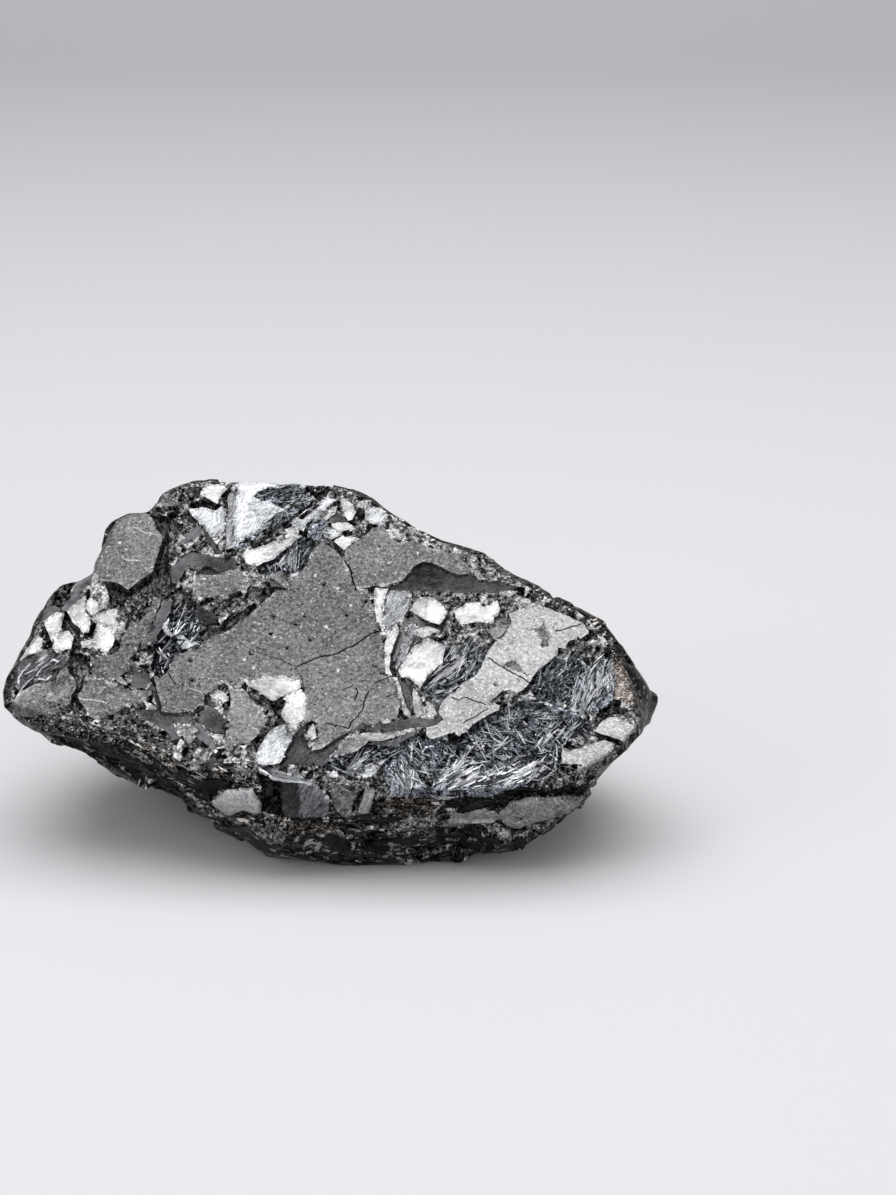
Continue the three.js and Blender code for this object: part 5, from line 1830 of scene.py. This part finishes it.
def hematite_material():
    """Metal whose sand, strands, tint and sheen follow the looks stored on the mesh."""
    material = bpy.data.materials.new("hematite")
    material.use_nodes = True
    n = Nodes(material.node_tree)
    shader = material.node_tree.nodes["Principled BSDF"]
    place = n.add("ShaderNodeTexCoord").outputs["Object"]
    grain = n.attribute("grain", "Vector")
    grit = n.attribute("grit")
    streak = n.attribute("streak")
    tint = n.attribute("tint")
    sandy, mottle = sand(n, place)
    strands = n.math("MAXIMUM", n.strands(grain, 0), n.strands(grain, 24))

    light = n.math("MULTIPLY_ADD", grit, sandy, n.attribute("tone"))
    light = n.math("MULTIPLY_ADD", streak, strands, light)
    light = n.math("MINIMUM", n.math("MAXIMUM", light, 0.03), 1.1)
    albedo = n.math("MULTIPLY", n.math("POWER", light, 2.0), BRIGHTEST)
    n.tree.links.new(tinted(n, albedo, tint), shader.inputs["Base Color"])

    rough = n.math("MULTIPLY_ADD", n.math("SUBTRACT", mottle, 0.5), 0.25, n.attribute("roughness"))
    n.tree.links.new(rough, shader.inputs["Roughness"])
    shader.inputs["Metallic"].default_value = 1.0

    relief = n.math("MULTIPLY_ADD", sandy, n.math("MULTIPLY_ADD", grit, 0.7, 0.1),
                    n.math("MULTIPLY", strands, n.math("MULTIPLY", streak, 0.5)))
    bump = n.add("ShaderNodeBump", {"Height": relief, "Strength": 0.5, "Distance": 0.3 * MM})
    n.tree.links.new(bump.outputs[0], shader.inputs["Normal"])
    return material


# Stage, lights and camera.

def plain_material(name, colour, roughness):
    """A material of one colour, for the floor."""
    material = bpy.data.materials.new(name)
    material.use_nodes = True
    shader = material.node_tree.nodes["Principled BSDF"]
    shader.inputs["Base Color"].default_value = (*colour, 1.0)
    shader.inputs["Roughness"].default_value = roughness
    return material


def build_floor():
    """A pale floor that rises far behind the stone."""
    half_width, front, back, bend, top = 3.0, -2.0, 1.2, 0.6, 2.6
    angles = np.linspace(0, math.pi / 2, 16)[1:]
    profile = [(front, 0.0), (back, 0.0)]
    profile += [(back + bend * math.sin(a), bend - bend * math.cos(a)) for a in angles]
    profile.append((back + bend, top))
    bm = bmesh.new()
    rows = [[bm.verts.new((x, y, z)) for x in (-half_width, half_width)] for y, z in profile]
    for low, high in zip(rows, rows[1:]):
        bm.faces.new((low[0], low[1], high[1], high[0]))
    mesh = bpy.data.meshes.new("floor")
    bm.to_mesh(mesh)
    bm.free()
    mesh.shade_smooth()
    floor = bpy.data.objects.new("floor", mesh)
    floor.data.materials.append(plain_material("floor", (0.58, 0.58, 0.59), 0.7))
    bpy.context.scene.collection.objects.link(floor)


def area_light(name, place, target, size, power):
    """A soft light of this width and height, turned to a target."""
    data = bpy.data.lights.new(name, "AREA")
    data.shape = "RECTANGLE"
    data.size, data.size_y = size
    data.energy = power
    light = bpy.data.objects.new(name, data)
    light.location = place
    light.rotation_euler = (Vector(target) - Vector(place)).to_track_quat("-Z", "Y").to_euler()
    bpy.context.scene.collection.objects.link(light)


def light_scene():
    """A broad light overhead, two weaker ones in front, and an even pale surrounding."""
    target = (0.0, 0.0, 0.04)
    area_light("overhead", (0.0, 0.06, 1.1), target, (1.5, 1.3), 15.0)
    area_light("left fill", (-1.2, -0.7, 0.7), target, (0.6, 0.9), 4.0)
    area_light("front fill", (0.5, -1.5, 0.6), target, (0.9, 0.5), 4.5)
    world = bpy.data.worlds.new("studio")
    world.use_nodes = True
    background = world.node_tree.nodes["Background"]
    background.inputs["Color"].default_value = (0.95, 0.97, 1.0, 1.0)
    background.inputs["Strength"].default_value = 0.55
    bpy.context.scene.world = world


def place_camera():
    """Looks at the stone from the front and a little above, as it is usually shown."""
    data = bpy.data.cameras.new("camera")
    data.lens = 85.0
    data.sensor_width = 36.0
    camera = bpy.data.objects.new("camera", data)
    camera.location = (0.0331, -0.7238, 0.3342)
    camera.rotation_euler = (math.radians(90 - 20.5), 0.0, 0.0)
    bpy.context.scene.collection.objects.link(camera)
    bpy.context.scene.camera = camera


stone = build_stone(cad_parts["hematite_stone"])
stone.data.materials.append(hematite_material())
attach(stone, "root")
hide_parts("hematite_stone")

build_floor()
light_scene()
place_camera()
bpy.context.scene.view_settings.view_transform = "Standard"
